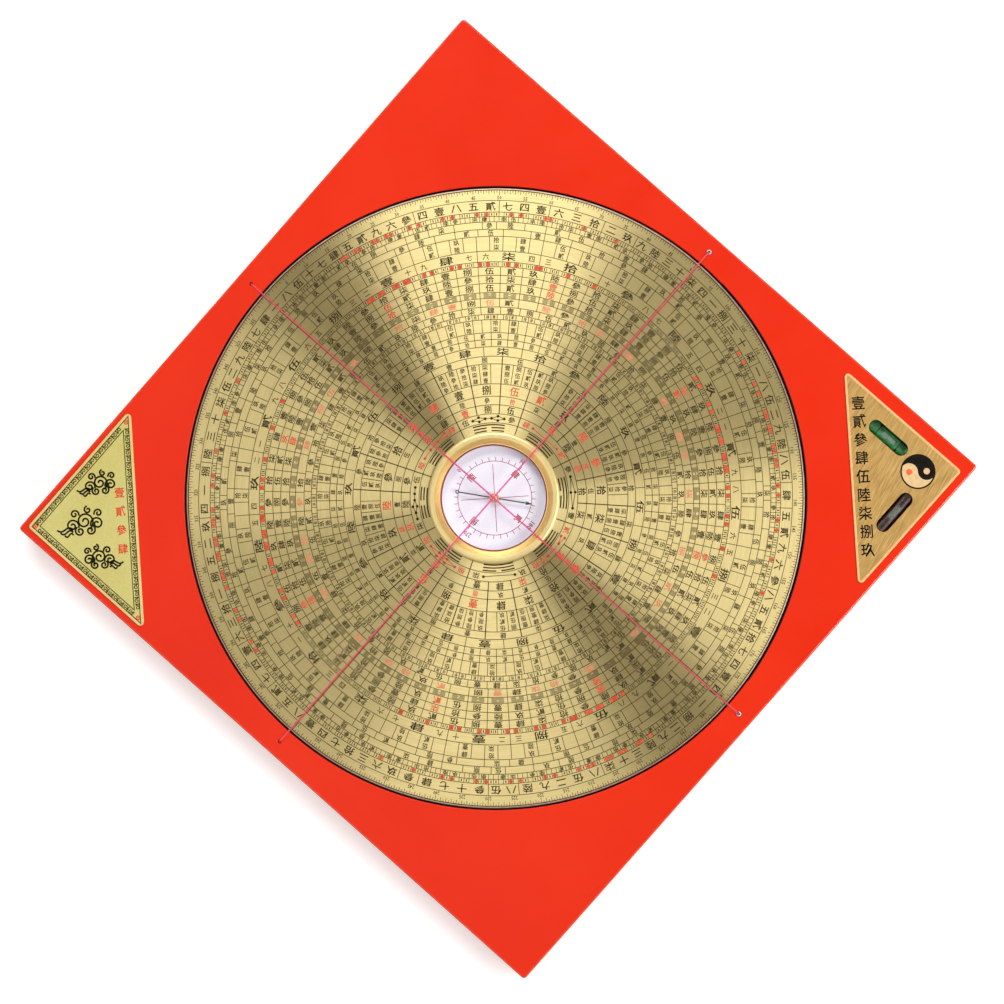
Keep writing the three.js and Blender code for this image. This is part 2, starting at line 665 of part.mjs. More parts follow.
function boardGroup() {
  const group = new THREE.Group();
  const pink = 0xff5a9a;
  addPiece(group, 'board', boardGeometry(), material(0xe4341b, 0.25, 0));
  addPiece(group, 'level_plate', levelPlateGeometry(), material(0xd8b572, 0.35, 1));
  addPiece(group, 'emblem_plate', emblemPlateGeometry(), material(0xe0cf8e, 0.4, 1));
  addVial(group, 'green', GREEN_VIAL, 0x2f6b45);
  addVial(group, 'red', RED_VIAL, 0x3a1714);

  addPiece(group, 'thread_x', threadGeometry(THREAD_Z), material(pink, 0.5, 0));
  const threadY = threadGeometry(THREAD_Z + CROSSING_RISE).rotateZ(Math.PI / 2);
  addPiece(group, 'thread_y', threadY, material(pink, 0.5, 0));
  const plugX = threadPlugGeometry().translate(THREAD_ANCHOR, 0, 0);
  addPiece(group, 'thread_plug_x', plugX, material(0xf3c4c4, 0.4, 0));
  const plugY = threadPlugGeometry().rotateZ(Math.PI / 2).translate(0, THREAD_ANCHOR, 0);
  addPiece(group, 'thread_plug_y', plugY, material(0xf3c4c4, 0.4, 0));
  return group;
}

function dialGroup() {
  const group = new THREE.Group();
  const gasket = flatRing(VIEW_R, GLASS_R, GASKET_Z, GASKET_Z + GASKET_THICK, CASE_SIDES);
  addPiece(group, 'dial_base', dialBaseGeometry(), material(0x1c1612, 0.5, 0));
  addPiece(group, 'dial_plate', dialPlateGeometry(), material(0xd9c383, 0.3, 1));
  addPiece(group, 'compass_case', compassCaseGeometry(), material(0xcdb36a, 0.35, 1));
  addPiece(group, 'compass_card', cardGeometry(), material(0xf2f3f7, 0.6, 0));
  addPiece(group, 'pivot_boss', pivotBossGeometry(), material(0xcdb36a, 0.3, 1));
  addPiece(group, 'pivot_pin', pivotPinGeometry(), material(0xb8bcc0, 0.2, 1));
  addPiece(group, 'gasket', gasket, material(0x7a1c1c, 0.6, 0));
  const glass = disc(GLASS_R, GLASS_Z, GLASS_TOP_Z, CASE_SIDES);
  addPiece(group, 'glass', glass, clearMaterial(0xf4f8f8, 0.02, 0.15));
  addPiece(group, 'bezel', bezelGeometry(), material(0xe3cf8a, 0.2, 1));
  return group;
}

function needleGroup() {
  const group = new THREE.Group();
  group.rotation.z = THREE.MathUtils.degToRad(NEEDLE_HEADING_DEG);
  addPiece(group, 'needle_blade', needleBladeGeometry(), material(0x2f4a44, 0.4, 0.8));
  addPiece(group, 'needle_cap', needleCapGeometry(), material(0xc9a65c, 0.3, 1));
  addPiece(group, 'needle_jewel', needleJewelGeometry(), material(0xb03040, 0.1, 0));
  return group;
}

const compass = new THREE.Group();
compass.add(boardGroup(), dialGroup(), needleGroup());

export default compass;
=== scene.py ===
import math

import bmesh
import bpy
import numpy as np
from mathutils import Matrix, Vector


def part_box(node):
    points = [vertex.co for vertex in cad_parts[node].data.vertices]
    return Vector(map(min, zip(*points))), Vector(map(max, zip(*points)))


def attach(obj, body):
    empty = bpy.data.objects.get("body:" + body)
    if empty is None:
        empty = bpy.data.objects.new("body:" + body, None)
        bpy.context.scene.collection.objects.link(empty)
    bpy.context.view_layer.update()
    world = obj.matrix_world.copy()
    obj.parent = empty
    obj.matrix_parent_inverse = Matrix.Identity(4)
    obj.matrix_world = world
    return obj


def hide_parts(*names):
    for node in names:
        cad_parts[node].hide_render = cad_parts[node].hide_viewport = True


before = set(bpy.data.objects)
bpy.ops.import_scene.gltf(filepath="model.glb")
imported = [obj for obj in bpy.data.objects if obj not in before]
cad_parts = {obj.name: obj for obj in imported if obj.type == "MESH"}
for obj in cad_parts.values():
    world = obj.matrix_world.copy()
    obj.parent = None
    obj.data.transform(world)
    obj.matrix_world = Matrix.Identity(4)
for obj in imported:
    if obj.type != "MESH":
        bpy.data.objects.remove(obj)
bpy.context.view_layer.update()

MM = 0.001


def low(node):
    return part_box(node)[0]


def high(node):
    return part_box(node)[1]


def heights(node):
    return low(node).z, high(node).z


def middle_of(node):
    return (low(node) + high(node)) / 2


def extent(node):
    return high(node) - low(node)


# Camera and lamps. Azimuths are in degrees from +X, anticlockwise, seen from above.
LENS_MM = 135
CAMERA_PLACE = (0.10475, 0.06245, 1.59455)
CAMERA_TURN = (0.01304, 0.07376, 0.72196)
# name: azimuth, elevation, distance, width, height, power
LAMPS = {
    "softbox_top": (139, 52, 2.2, 1.2, 0.8, 23),
    "softbox_right": (26, 47, 2.2, 1.35, 0.8, 27),
    "panel_left": (250, 74, 2.5, 0.9, 0.9, 3),
}
WORLD_STRENGTH = 0.25
WORLD_COLOUR = (1, 0.93, 0.82, 1)
FLOOR_SIZE = 6
FLOOR_GLOW = 0.5
FLOOR_COLOUR = (0.86, 0.86, 0.86, 1)
FLOOR_ROUGHNESS = 0.9

# Board
HALF_SIDE = high("board").x
BOARD_TOP = high("board").z
BOARD_CORNER_R = 1.6 * MM
BOARD_EDGE_R = 0.8 * MM
RECESS_FLOOR = 6 * MM
RECESS_EDGE_R = 0.4 * MM
DIAL_SIDE_GAP = 0.6 * MM
ANCHOR_INSET = 6.3 * MM
ANCHOR = HALF_SIDE - ANCHOR_INSET
KNOT_ROOM_R = 2.4 * MM
KNOT_ROOM_DEPTH = 4 * MM
PLUG_HOLE_R = 1.2 * MM
THREAD_HOLE_R = 0.7 * MM
HOLE_EDGE_R = 0.3 * MM
# Middles and radii of the holes that the threads come up through
ANCHOR_HOLES = [
    (ANCHOR, 0, PLUG_HOLE_R), (0, ANCHOR, PLUG_HOLE_R),
    (-ANCHOR, 0, THREAD_HOLE_R), (0, -ANCHOR, THREAD_HOLE_R),
]

# Dial
DIAL_R = high("dial_plate").x
DIAL_PLATE_LOW, DIAL_FACE = heights("dial_plate")
DIAL_HOLE_R = 24.25 * MM
DIAL_EDGE_R = 0.6 * MM
RECESS_R = DIAL_R + DIAL_SIDE_GAP

# Compass
CASE_WALL = 1.3 * MM
CASE_FLOOR = 1.2 * MM
BEZEL_R = high("bezel").x
BEZEL_INNER_R = 22.5 * MM
BEZEL_SEAT_R = 23.75 * MM
BEZEL_EDGE_RISE = 0.4 * MM
BEZEL_CROWN_R = 26.2 * MM
BEZEL_SLOPE_R = 25 * MM
BEZEL_SLOPE_DROP = 0.7 * MM
VIEW_R = 21.9 * MM
THIN_EDGE_R = 0.1 * MM
CARD_TOP = high("compass_card").z
CARD_HOLE_R = 1.5 * MM
# The card's printing. The shares are of the view's radius.
CARD_RING_SHARE = 0.712
CARD_RING_WIDTH = 0.26 * MM
CARD_TICKS = 36
CARD_TICK_SHARE = 0.078
CARD_LINE_WIDTH = 0.25 * MM
CARD_CROSS_START = 1.4 * CARD_HOLE_R
CARD_CROSS_SHARE = 0.657
CARD_SIGN_PLACE_SHARE = 0.6
CARD_SIGN_SHARE = 0.15
CARD_FIGURE_PLACE_SHARE = 0.87
CARD_FIGURE_SHARES = (0.05, 0.1)
CARD_FIGURE_TURN_DEG = 4

# Needle
NEEDLE_HEADING_DEG = 32
NEEDLE_LENGTH = 33.3 * MM
NEEDLE_WIDTH = 0.5 * MM
ARROW_LENGTH = 3.4 * MM
ARROW_NOTCH_SHARE = 0.85
ARROW_WIDTH = 1.6 * MM
TAIL_RING_R = 0.8 * MM
TAIL_X = -NEEDLE_LENGTH / 2 + TAIL_RING_R
TAIL_RING_HOLE_R = 0.4 * MM
HUB_BORE_R = 1.55 * MM
HUB_R = 2 * MM
CAP_R = 1.4 * MM
CAP_BORE_R = 0.95 * MM
CAP_FLANGE_THICK = 0.3 * MM
CAP_EDGE_R = 0.45 * MM
PIN_POINT_LENGTH = 1 * MM
BOSS_SHANK_R = 1.2 * MM
BOSS_BORE_R = 0.55 * MM
BOSS_EDGE_R = 0.25 * MM
JEWEL_RIM = 0.25 * MM
JEWEL_CUP_DEPTH = 0.4 * MM

# Corner plates
BRUSHING_DEG = 101
PLATE_CORNER_R = 1.6 * MM
PLATE_EDGE_R = 0.12 * MM
PLATE_RIM_WIDTH = 1 * MM
YIN_YANG_PLACE_SHARES = (0.208, 0.186)
YIN_YANG_R = 7.3 * MM
YIN_YANG_TURN_DEG = 44
YIN_YANG_LINE_SHARE = 0.09
YIN_YANG_DOT_SHARE = 0.18
COLUMN_UP_DEG = 135
COLUMN_SIGNS = 9
COLUMN_START = 14.7 * MM
COLUMN_PITCH = 7.68 * MM
COLUMN_INSET = 5 * MM
COLUMN_SIGN_SIZE = 5.7 * MM
RED_COLUMN_SIGNS = 4
RED_COLUMN_PITCH = 7.98 * MM
RED_COLUMN_INSET = 7 * MM
RED_SIGN_SIZE = 4.4 * MM
BORDER_MARGIN = 1.15 * MM
BORDER_WIDTH = 2.4 * MM
BORDER_LINE_WIDTH = 0.4 * MM
ROSETTE_R = 0.8 * MM
ROSETTE_SIDES = 16
SCROLL_PITCH = 2.9 * MM
SCROLL_CURL_R = 0.4 * BORDER_WIDTH
SCROLL_START_DEG = 30
SCROLL_TURNS = 1.2
SCROLL_INNER_SHARE = 0.25
# Foot and tip of a scroll's leaf and middle of its bud, across the border
SCROLL_LEAF_SHARES = (-0.34, 0.1, 0.28)
SCROLL_LEAF_WIDTH = 1.6 * BORDER_LINE_WIDTH
SCROLL_BUD_R = 0.9 * BORDER_LINE_WIDTH
CLOUD_LINE_WIDTH = 0.78 * MM
CLOUD_TURN_DEG = 45
CLOUD_INNER_SHARE = 0.15
# Curls of a cloud in units of its size: x, y, radius, start in degrees, turns
CLOUD_CURLS = [
    (0, 0.15, 0.85, -60, 1.7), (-1.15, -0.2, 0.62, -20, 1.5), (1.15, -0.1, 0.62, 200, -1.5),
    (-0.48, -0.72, 0.46, 120, 1.4), (0.52, -0.68, 0.46, 60, -1.4), (1.3, 0.85, 0.4, 200, -1.3),
    (-0.9, 0.85, 0.42, -20, 1.3), (0.35, 1.2, 0.36, 100, 1.2),
]
# A cloud's tail lines in the same units: their lengths, and how they lie
CLOUD_TAIL_SHARES = [1.5, 1.2, 0.8]
CLOUD_TAIL_START = 1.1
CLOUD_TAIL_PITCH = 0.26
CLOUD_TAIL_SWAY = 0.16
# Clouds: x and y as shares of the plate's leg from its corner, size, and the side that the tail turns from
CLOUDS = [(0.26, 0.26, 4.6 * MM, 1), (0.48, 0.155, 3.9 * MM, -1), (0.17, 0.51, 3.9 * MM, 1)]

# Vials
WINDOW_LENGTH = 19.7 * MM
WINDOW_WIDTH = 5.8 * MM
VIAL_WALL = 0.9 * MM
VIAL_END_WALL = 2 * MM
VIAL_EDGE_R = 0.5 * MM
VIAL_GAP = 0.15 * MM
POCKET_GAP = 0.3 * MM
CHANNEL_SIDE_GAP = 0.3 * MM
CHANNEL_END_WALL = 1 * MM
INDEX_BAND_WIDTH = 0.4 * MM
INDEX_BAND_PLACE_SHARE = 0.27

# Cross threads
THREAD_R = 0.42 * MM
THREAD_LIFT = 0.15 * MM
THREAD_LEVEL = BOARD_TOP + THREAD_LIFT + THREAD_R
THREAD_BEND_R = 0.9 * MM
THREAD_PLIES = 3
PLY_R_SHARE = 0.48
PLY_R = PLY_R_SHARE * THREAD_R
THREAD_TWIST_PITCH = 2.6 * MM
KNOT_R = 1.5 * MM
KNOT_Z = KNOT_ROOM_DEPTH - POCKET_GAP - KNOT_R
KNOT_THREAD_SHARE = 0.95
# A knot's line: size of its loops against its round, width of both together, and rise against its reach
KNOT_LOOP_SHARE = 1.6
KNOT_SPREAD = 2.2
KNOT_RISE_SHARE = 0.55
KNOT_LOW = 0.7 * MM
PLUG_SLOT_HALF = THREAD_R + 0.15 * MM
# Height of a plug's dome against its radius, the arc that it covers, and what its top loses of the radius
PLUG_DOME_SHARE = 0.4
PLUG_DOME_DEG = 67.5
PLUG_TOP_LOSS_SHARE = 0.42

# Printing
PRINT_LIFT = 0.015 * MM
PRINT_STEP = 0.01 * MM
PRINTED_R = DIAL_R - DIAL_EDGE_R
LINE_WIDTH = 0.27 * MM
TICK_WIDTH = 0.22 * MM
THICK_LINE_WIDTH = 0.42 * MM
SIGN_BOLDNESS_SHARE = 0.016
# Width and height that a Chinese numeral's square takes, in the font's units
SIGN_ROOM = (1, 0.95)
SMALL_NUMERALS = "一二三四五六七八九十"
FORMAL_NUMERALS = "壹貳參肆伍陸柒捌玖拾"

# The dial's printed rings, from the rim inwards
RING_WIDTHS_MM = [
    4.4, 4.9, 1.9, 2.2, 3.1, 3, 6.2, 4.5, 2.1, 3.6, 3.4, 3.8, 2.5, 3.6,
    3.1, 2.2, 5.5, 2.9, 3, 4, 3.2, 8.4, 5.2, 3.6, 3.8, 3.8, 4.3,
]
OUTER_LINE_INSET = 0.3 * MM
RING_EDGES = PRINTED_R - OUTER_LINE_INSET - np.concatenate([[0], np.cumsum(RING_WIDTHS_MM)]) * MM
# The thick spokes run inwards from this ring's outer line
SPOKE_RING = 20
# Angle of the dial's first dividing line
DIAL_START_DEG = 0.3
# Rings that are parted into even cells, and into how many
RING_CELLS = {
    3: 360, 6: 120, 7: 24, 9: 64, 10: 64, 11: 64, 12: 64, 13: 64, 14: 60, 15: 180, 16: 120, 17: 60, 18: 60,
    19: 24, 21: 72,
}
# How far the lines of some of them are turned from the dial's start, in degrees
CELL_TURNS_DEG = {14: 3, 21: 2.5}
# Numerals in even cells: ring, cells, pattern, share of the cell's width and of the row's depth that they
# take, rows, and how far the cells are turned from the dial's start in degrees.
# A pattern is read round and round: x black, r red, p pink, o none.
RING_SIGNS = [
    (3, 180, "xxo", 0.6, 0.8, 1, 0),
    (6, 120, "oxoxo", 0.45, 0.8, 2, 0),
    (9, 64, "x", 0.42, 0.8, 1, 0),
    (10, 64, "xxxxrxxx", 0.42, 0.8, 1, 0),
    (11, 64, "xxxxrxxx", 0.42, 0.8, 1, 0),
    (13, 64, "xppxpoxp", 0.5, 0.7, 1, 0),
    (14, 60, "x", 0.38, 0.85, 1, 3),
    (15, 180, "xox", 0.5, 0.7, 1, 0),
    (16, 120, "oxoxo", 0.62, 0.8, 2, 0),
    (17, 60, "x", 0.28, 0.75, 1, 0),
    (18, 60, "x", 0.28, 0.75, 1, 0),
    (20, 24, "x", 0.17, 0.8, 1, -7.5),
    (21, 72, "xxoxxx", 0.5, 0.8, 3, -2.5),
    (22, 24, "rxxxrrxrrxxrrxxrxxrxrxxx", 0.34, 0.75, 1, -7.5),
    (23, 24, "rxxx", 0.22, 0.7, 1, -7.5),
    (24, 24, "roxxrx", 0.34, 0.85, 1, -7.5),
]
# Greatest width of such a numeral against its height
SIGN_STRETCH = 2.2
# The outer scale, as shares of its ring's depth: ticks at half degrees, degrees and tens, and its figures'
# place from the inner edge, width of one figure and height
HALF_TICK_SHARE = 0.24
TICK_SHARE = 0.38
TEN_TICK_SHARE = 0.5
FIGURE_SHARES = (0.27, 0.2, 0.38)
# Widths of the second ring's 28 uneven stretches, in degrees
UNEVEN_STRETCHES = [
    12, 9, 16, 5, 6, 18, 10, 24, 7, 11, 10, 17, 16, 9, 16, 12, 14, 11, 17, 9, 10, 31, 4, 14, 6, 17, 18, 11,
]
UNEVEN_START_DEG = DIAL_START_DEG + 2
UNEVEN_SIGN_ROOM_DEG = 3
UNEVEN_SIGN_SHARES = (0.9, 0.74)
# How close the red dots stand in the rings of single degrees, one letter for each stretch, round and round:
# o none, f few, s some, m many
DOT_PATTERN = "ofsmsoofssmo"
DOT_STRETCH_DEG = 15
# Degrees that get a dot, by what is left of the degree's square over 7
DOT_REMAINDERS = {"o": (), "f": (0,), "s": (1,), "m": (1, 4)}
DOT_SHARE = 0.46
MARK_INSET_SHARE = 0.22
# Widths of the cells of the narrow sparse rings, in degrees, taken round and round
SPARSE_STRETCHES = [4.5, 6, 3, 6, 5.5, 5]
SPARSE_SIGN_SHARE = 0.85
# Width and height of the 24 broad numerals and of the small ones beside them, and these ones' distance
BROAD_SIGN_SHARES = (1.35, 0.8)
SIDE_SIGN_SHARES = (0.62, 0.6)
SIDE_SIGN_DEG = 5.5
# Lines of hexagrams and trigrams: half a line's length and half its gap in degrees, and its width as a share
# of the ring
HEXAGRAM_ROWS = 6
HEXAGRAM_LINE = (1.8, 0.36, 0.075)
TRIGRAM_LINE = (12.7, 2, 0.13)
# Place of a trigram's inner line and distance of its lines, as shares of the ring
TRIGRAM_ROW_SHARES = (0.24, 0.29)
# Lines of the eight trigrams from the inner line out, the first at the dial's start: 1 is whole, 0 broken
TRIGRAMS = ["111", "011", "101", "001", "000", "100", "010", "110"]
# Number of stars in each column of the figures beside the trigrams
STAR_FIGURES = ["21112", "121", "11", "121121", "1112", "112111", "1221", "11"]
STAR_SPREAD_DEG = 11.5
STAR_RISE_SHARE = 0.24
STAR_SHARE = 0.16
STAR_SIGN_SHARES = (0.8, 0.7)
STAR_SIGN_DEG = 17

# Steps of round shapes
RIM_SIDES = 384
RING_SIDES = 192
SMALL_SIDES = 48
PLY_SIDES = 8
DOT_SIDES = 12
BEZEL_STEPS = 9
EDGE_STEPS = 4
BEND_STEPS = 5
BUBBLE_STEPS = 8
KNOT_STEPS = 72
TAIL_STEPS = 16
SPIRAL_LEAST_STEPS = 8
SPIRAL_STEPS = 14
TWIST_STEPS = 10
ARC_STEP_DEG = 1.5
SHARP_ANGLE_DEG = 38

# Materials. Colours are as seen on screen, dark before pale, and tints are linear.
# Scales of noises are per metre. A spread is how far the colours reach from the noise's middle.
NOISE_RANGE = (0.3, 0.7)
STREAK_NOISE = {"detail": 3, "roughness": 0.6}
COLOUR_SPREAD = 0.15
LACQUER_SPREAD = 0.2
BRUSHED_SPREAD = 0.16
SATIN_SPREAD = 0.12
# Turn of the gloss's long axis, as a share of a full turn: along the brushing
BRUSHING_TURN_SHARE = 0.25
# Mottled materials: colours, grain in millimetres, roughness, other values
MOTTLED = {
    # Board's top edge: a real glossier coat, and a paler colour that is a painted highlight along the edge.
    "lacquer_edge": ((0.93, 0.24, 0.12), (0.96, 0.32, 0.18), 4, (0.14, 0.22), {"coat_weight": 1}),
    # Dark maroon on the recess's wall, floor and lower edge, and in the vial pockets: painted shade in the
    # gap round the dial.
    "recess_paint": ((0.3, 0.04, 0.03), (0.38, 0.06, 0.05), 2, (0.6, 0.8), {}),
    # The dial's rounded edge beyond the printing: unprinted metal, with a pale silvery colour that is a
    # painted highlight along the edge.
    "bare_rim": ((0.8, 0.68, 0.62), (0.9, 0.78, 0.73), 1, (0.3, 0.4), {"metallic": 0.6}),
    "white_card": ((0.95, 0.94, 0.99), (0.98, 0.975, 1), 0.5, (0.6, 0.75), {}),
    "dark_red_fibre": ((0.6, 0.13, 0.14), (0.76, 0.24, 0.22), 0.3, (0.6, 0.8), {}),
    "black_rubber": ((0.1, 0.1, 0.1), (0.18, 0.18, 0.17), 0.4, (0.55, 0.7), {}),
    "pale_plastic": ((0.95, 0.8, 0.78), (1, 0.9, 0.88), 0.5, (0.35, 0.5), {}),
    "polished_steel": ((0.7, 0.71, 0.72), (0.82, 0.83, 0.84), 0.3, (0.18, 0.3), {"metallic": 1}),
    "blued_steel": ((0.15, 0.21, 0.2), (0.26, 0.33, 0.31), 0.6, (0.3, 0.45), {"metallic": 0.5}),
    "needle_cap_brass": ((0.96, 0.64, 0.56), (1, 0.75, 0.68), 0.3, (0.3, 0.4), {"metallic": 0.3}),
    "jewel": ((0.6, 0.08, 0.12), (0.75, 0.15, 0.2), 0.3, (0.04, 0.08), {}),
    # The bubble's pale milky colour is a painted highlight, in place of the light that its round surface
    # mirrors.
    "bubble": ((0.6, 0.68, 0.6), (0.8, 0.86, 0.79), 1.5, (0.2, 0.3), {}),
    "green_liquid": ((0.16, 0.44, 0.22), (0.34, 0.78, 0.46), 2.2, (0.3, 0.45), {}),
    "dark_red_liquid": ((0.32, 0.1, 0.09), (0.5, 0.2, 0.18), 2.5, (0.3, 0.45), {}),
    "pink_nylon": ((1, 0.58, 0.46), (1, 0.68, 0.56), 0.4, (0.35, 0.5), {}),
}
# Those of them that let light straight through: its tint, and the share that is kept back
SEE_THROUGH = {
    "bubble": ((1, 1, 1, 1), 0.25),
    "green_liquid": ((0.1, 0.6, 0.25, 1), 0.8),
    "dark_red_liquid": ((0.4, 0.08, 0.06, 1), 0.85),
    "pink_nylon": ((1, 0.65, 1, 1), 0.26),
}
# Clear glass: tint, size of its faint smears in millimetres, least share that it mirrors, roughness
CLEAR = {
    "clear_glass": ((0.995, 0.995, 1, 1), 9, 0.002, 0.05),
    "vial_glass": ((0.96, 0.98, 0.97, 1), 3, 0.02, 0.3),
}
CLEAR_MIRROR_COLOUR = (0.98, 0.99, 0.99)
CLEAR_MIRROR_POWER = 5
# How much more the smears mirror than the rest
SMEAR_GAIN = 1.6
# Metal brushed in circles: colours, roughness, anisotropy, streaks' width in millimetres, metallic share
RING_METALS = {
    "printed_brass": ((0.87, 0.78, 0.53), (0.94, 0.87, 0.63), (0.29, 0.34), 1, 0.12, 1),
    # The bezel's one brass in two colours: the paler crown is a painted highlight, the deeper tan slope is
    # painted shade.
    "polished_brass": ((0.96, 0.85, 0.57), (1, 0.92, 0.66), (0.3, 0.38), 0.35, 0.2, 0.5),
    "slope_brass": ((0.89, 0.7, 0.41), (0.98, 0.8, 0.49), (0.3, 0.38), 0.35, 0.2, 0.6),
    "turned_brass": ((0.75, 0.6, 0.34), (0.86, 0.74, 0.46), (0.3, 0.42), 0.6, 0.3, 1),
}
RING_STREAK_SCALE = 9
# Printed metal with a satin grain
SATIN_METALS = {
    "pale_brass": ((0.87, 0.82, 0.48), (0.93, 0.89, 0.58)),
    "pale_margin": ((0.96, 0.83, 0.53), (1, 0.9, 0.64)),
}
SATIN_METALLIC = 0.65
SATIN_ROUGHNESS = (0.38, 0.52)
# Scales of its grain and its clouds
SATIN_SCALES = (2600, 40)
LACQUER_COLOURS = ((0.92, 0.165, 0.04), (0.95, 0.195, 0.055))
LACQUER_ROUGHNESS = (0.3, 0.42)
LACQUER_GLOSS = {"coat_weight": 0.1, "coat_roughness": 0.15, "specular_ior_level": 0.15}
# Scales of the lacquer's clouds, gloss and orange peel
LACQUER_SCALES = (14, 60, 420)
LACQUER_BUMP = 0.05 * MM
BRUSHED_COLOURS = ((0.79, 0.62, 0.36), (0.88, 0.71, 0.43), (0.96, 0.82, 0.54))
BRUSHED_ROUGHNESS = (0.32, 0.5)
# Length and width of the brushed plate's fine and broad streaks
BRUSHED_STREAK = (7 * MM, 0.24 * MM)
BRUSHED_CLOUD = (11 * MM, 0.5 * MM)
BRUSHED_BUMP = 0.02 * MM
WOOD_COLOURS = ((0.06, 0.045, 0.04), (0.16, 0.12, 0.1))
WOOD_ROUGHNESS = (0.45, 0.65)
WOOD_GRAIN = (40 * MM, 1.2 * MM)
WOOD_BUMP = 0.05 * MM
INKS = {
    "line_ink": ((0.2, 0.16, 0.05), (0.28, 0.24, 0.1)),
    "black_ink": ((0.04, 0.035, 0.02), (0.1, 0.08, 0.05)),
    "numeral_ink": ((0.17, 0.14, 0.06), (0.26, 0.22, 0.11)),
    "red_ink": ((0.84, 0.2, 0.13), (0.92, 0.3, 0.2)),
    "dial_red_ink": ((0.84, 0.3, 0.2), (0.92, 0.4, 0.28)),
    "pink_ink": ((0.88, 0.5, 0.36), (0.93, 0.6, 0.45)),
    "card_ink": ((0.62, 0.1, 0.2), (0.72, 0.2, 0.3)),
    "border_ink": ((0.2, 0.21, 0.06), (0.32, 0.33, 0.14)),
    "cloud_ink": ((0.08, 0.07, 0.03), (0.15, 0.14, 0.06)),
    # Not an ink: a pale band round the level plate's edge, a painted highlight along it.
    "rim_ink": ((0.96, 0.74, 0.49), (1, 0.8, 0.56)),
    "pale_ink": ((0.9, 0.76, 0.55), (0.94, 0.81, 0.61)),
    "orange_ink": ((0.95, 0.42, 0.25), (0.98, 0.5, 0.32)),
}
INK_GRAIN_MM = 1.5
INK_ROUGHNESS = (0.45, 0.6)
INK_SPECULAR = 0.12


# Points and outlines

def polar(angle_deg, radius=1):
    angle = math.radians(angle_deg)
    return np.array((radius * math.cos(angle), radius * math.sin(angle)))


def unit(vectors):
    """The same directions, one unit long."""
    return vectors / np.linalg.norm(vectors, axis=-1, keepdims=True)


def rotated(points, turn_deg):
    cosine, sine = polar(turn_deg)
    return [(x * cosine - y * sine, x * sine + y * cosine) for x, y in points]


def square(half):
    return [(-half, -half), (half, -half), (half, half), (-half, half)]


def arc_points(x, y, radius, start_deg, end_deg, steps):
    angles = np.radians(np.linspace(start_deg, end_deg, steps + 1))
    return [(x + radius * math.cos(a), y + radius * math.sin(a)) for a in angles]


def circle(x, y, radius, sides):
    return arc_points(x, y, radius, 0, 360, sides)[:-1]


def corner_sides(corners):
    """Each corner of an outline with the directions of the sides before and after it."""
    corners = [np.array(corner) for corner in corners]
    for before, here, after in zip(corners[-1:] + corners, corners, corners[1:] + corners[:1]):
        yield here, unit(here - before), unit(after - here)


def rounded_polygon(corners, radius, inset):
    """Outline of a convex polygon, anticlockwise, with rounded corners, drawn in by inset."""
    points = []
    for corner, inward, outward in corner_sides(corners):
        turn = math.acos(float(np.clip(inward @ outward, -1, 1)))
        start = corner - inward * radius * math.tan(turn / 2)
        centre = start + np.array((-inward[1], inward[0])) * radius
        start_deg = math.degrees(math.atan2(-inward[0], inward[1]))
        end_deg = start_deg + math.degrees(turn)
        points += arc_points(*centre, radius - inset, start_deg, end_deg, 2 * EDGE_STEPS)
    return points


def drawn_in(corners, inset):
    """Corners of a convex outline, anticlockwise, with every side moved inwards."""
    moved = []
    for corner, *directions in corner_sides(corners):
        first, second = (np.array((-y, x)) for x, y in directions)
        moved.append(corner + (first + second) * inset / (1 + first @ second))
    return moved


def capsule_outline(place, grow):
    """Outline of a vial's window with round ends, anticlockwise, along X or Y."""
    x, y, reach_x, reach_y = place
    start_deg = 0 if reach_y else -90
    radius = WINDOW_WIDTH / 2 + grow
    points = []
    for side in (1, -1):
        points += arc_points(
            x + side * reach_x, y + side * reach_y, radius, start_deg, start_deg + 180, SMALL_SIDES // 2)
        start_deg += 180
    return points


def edge_rows(radius, z, way):
    """Inset and height along a rounded edge, from the flat face at z to the wall.
    way is 1 for up and -1 for down."""
    angles = [math.pi / 2 * i / EDGE_STEPS for i in range(EDGE_STEPS + 1)]
    return [(radius * (1 - math.sin(a)), z + way * radius * (1 - math.cos(a))) for a in angles]


def top_edge(outer, top, radius):
    """Profile of a turned piece's rounded edge, from its wall up to its flat top."""
    return [(outer - inset, z) for inset, z in reversed(edge_rows(radius, top, -1))]


def ring_profile(inner, outer, bottom, top):
    return [(inner, bottom), (outer, bottom), (outer, top), (inner, top)]


def rounded_profile(inner, outer, bottom, top, edge):
    """Profile of a disc or ring with its outer edges rounded."""
    rows = [(outer - inset, z) for inset, z in edge_rows(edge, bottom, 1)]
    return [(inner, bottom), *rows, *top_edge(outer, top, edge), (inner, top)]


# Meshes

def link(name, data):
    piece = bpy.data.objects.new(name, data)
    bpy.context.scene.collection.objects.link(piece)
    return piece


def shaded(piece):
    """Smooth shading that keeps the creases and lets flat faces stay flat."""
    mesh = piece.data
    mesh.polygons.foreach_set("use_smooth", [True] * len(mesh.polygons))
    mesh.set_sharp_from_angle(angle=math.radians(SHARP_ANGLE_DEG))
    weigh = piece.modifiers.new("weigh", "WEIGHTED_NORMAL")
    weigh.keep_sharp = True
    graph = bpy.context.evaluated_depsgraph_get()
    piece.data = bpy.data.meshes.new_from_object(piece.evaluated_get(graph))
    piece.modifiers.clear()
    piece.data.name = piece.name
    return piece


def welded(name, surface):
    """Piece made of a surface, with its double points joined and its faces turned outwards."""
    bmesh.ops.remove_doubles(surface, verts=surface.verts, dist=PRINT_STEP / 10)
    bmesh.ops.recalc_face_normals(surface, faces=surface.faces)
    mesh = bpy.data.meshes.new(name)
    surface.to_mesh(mesh)
    surface.free()
    return shaded(link(name, mesh))


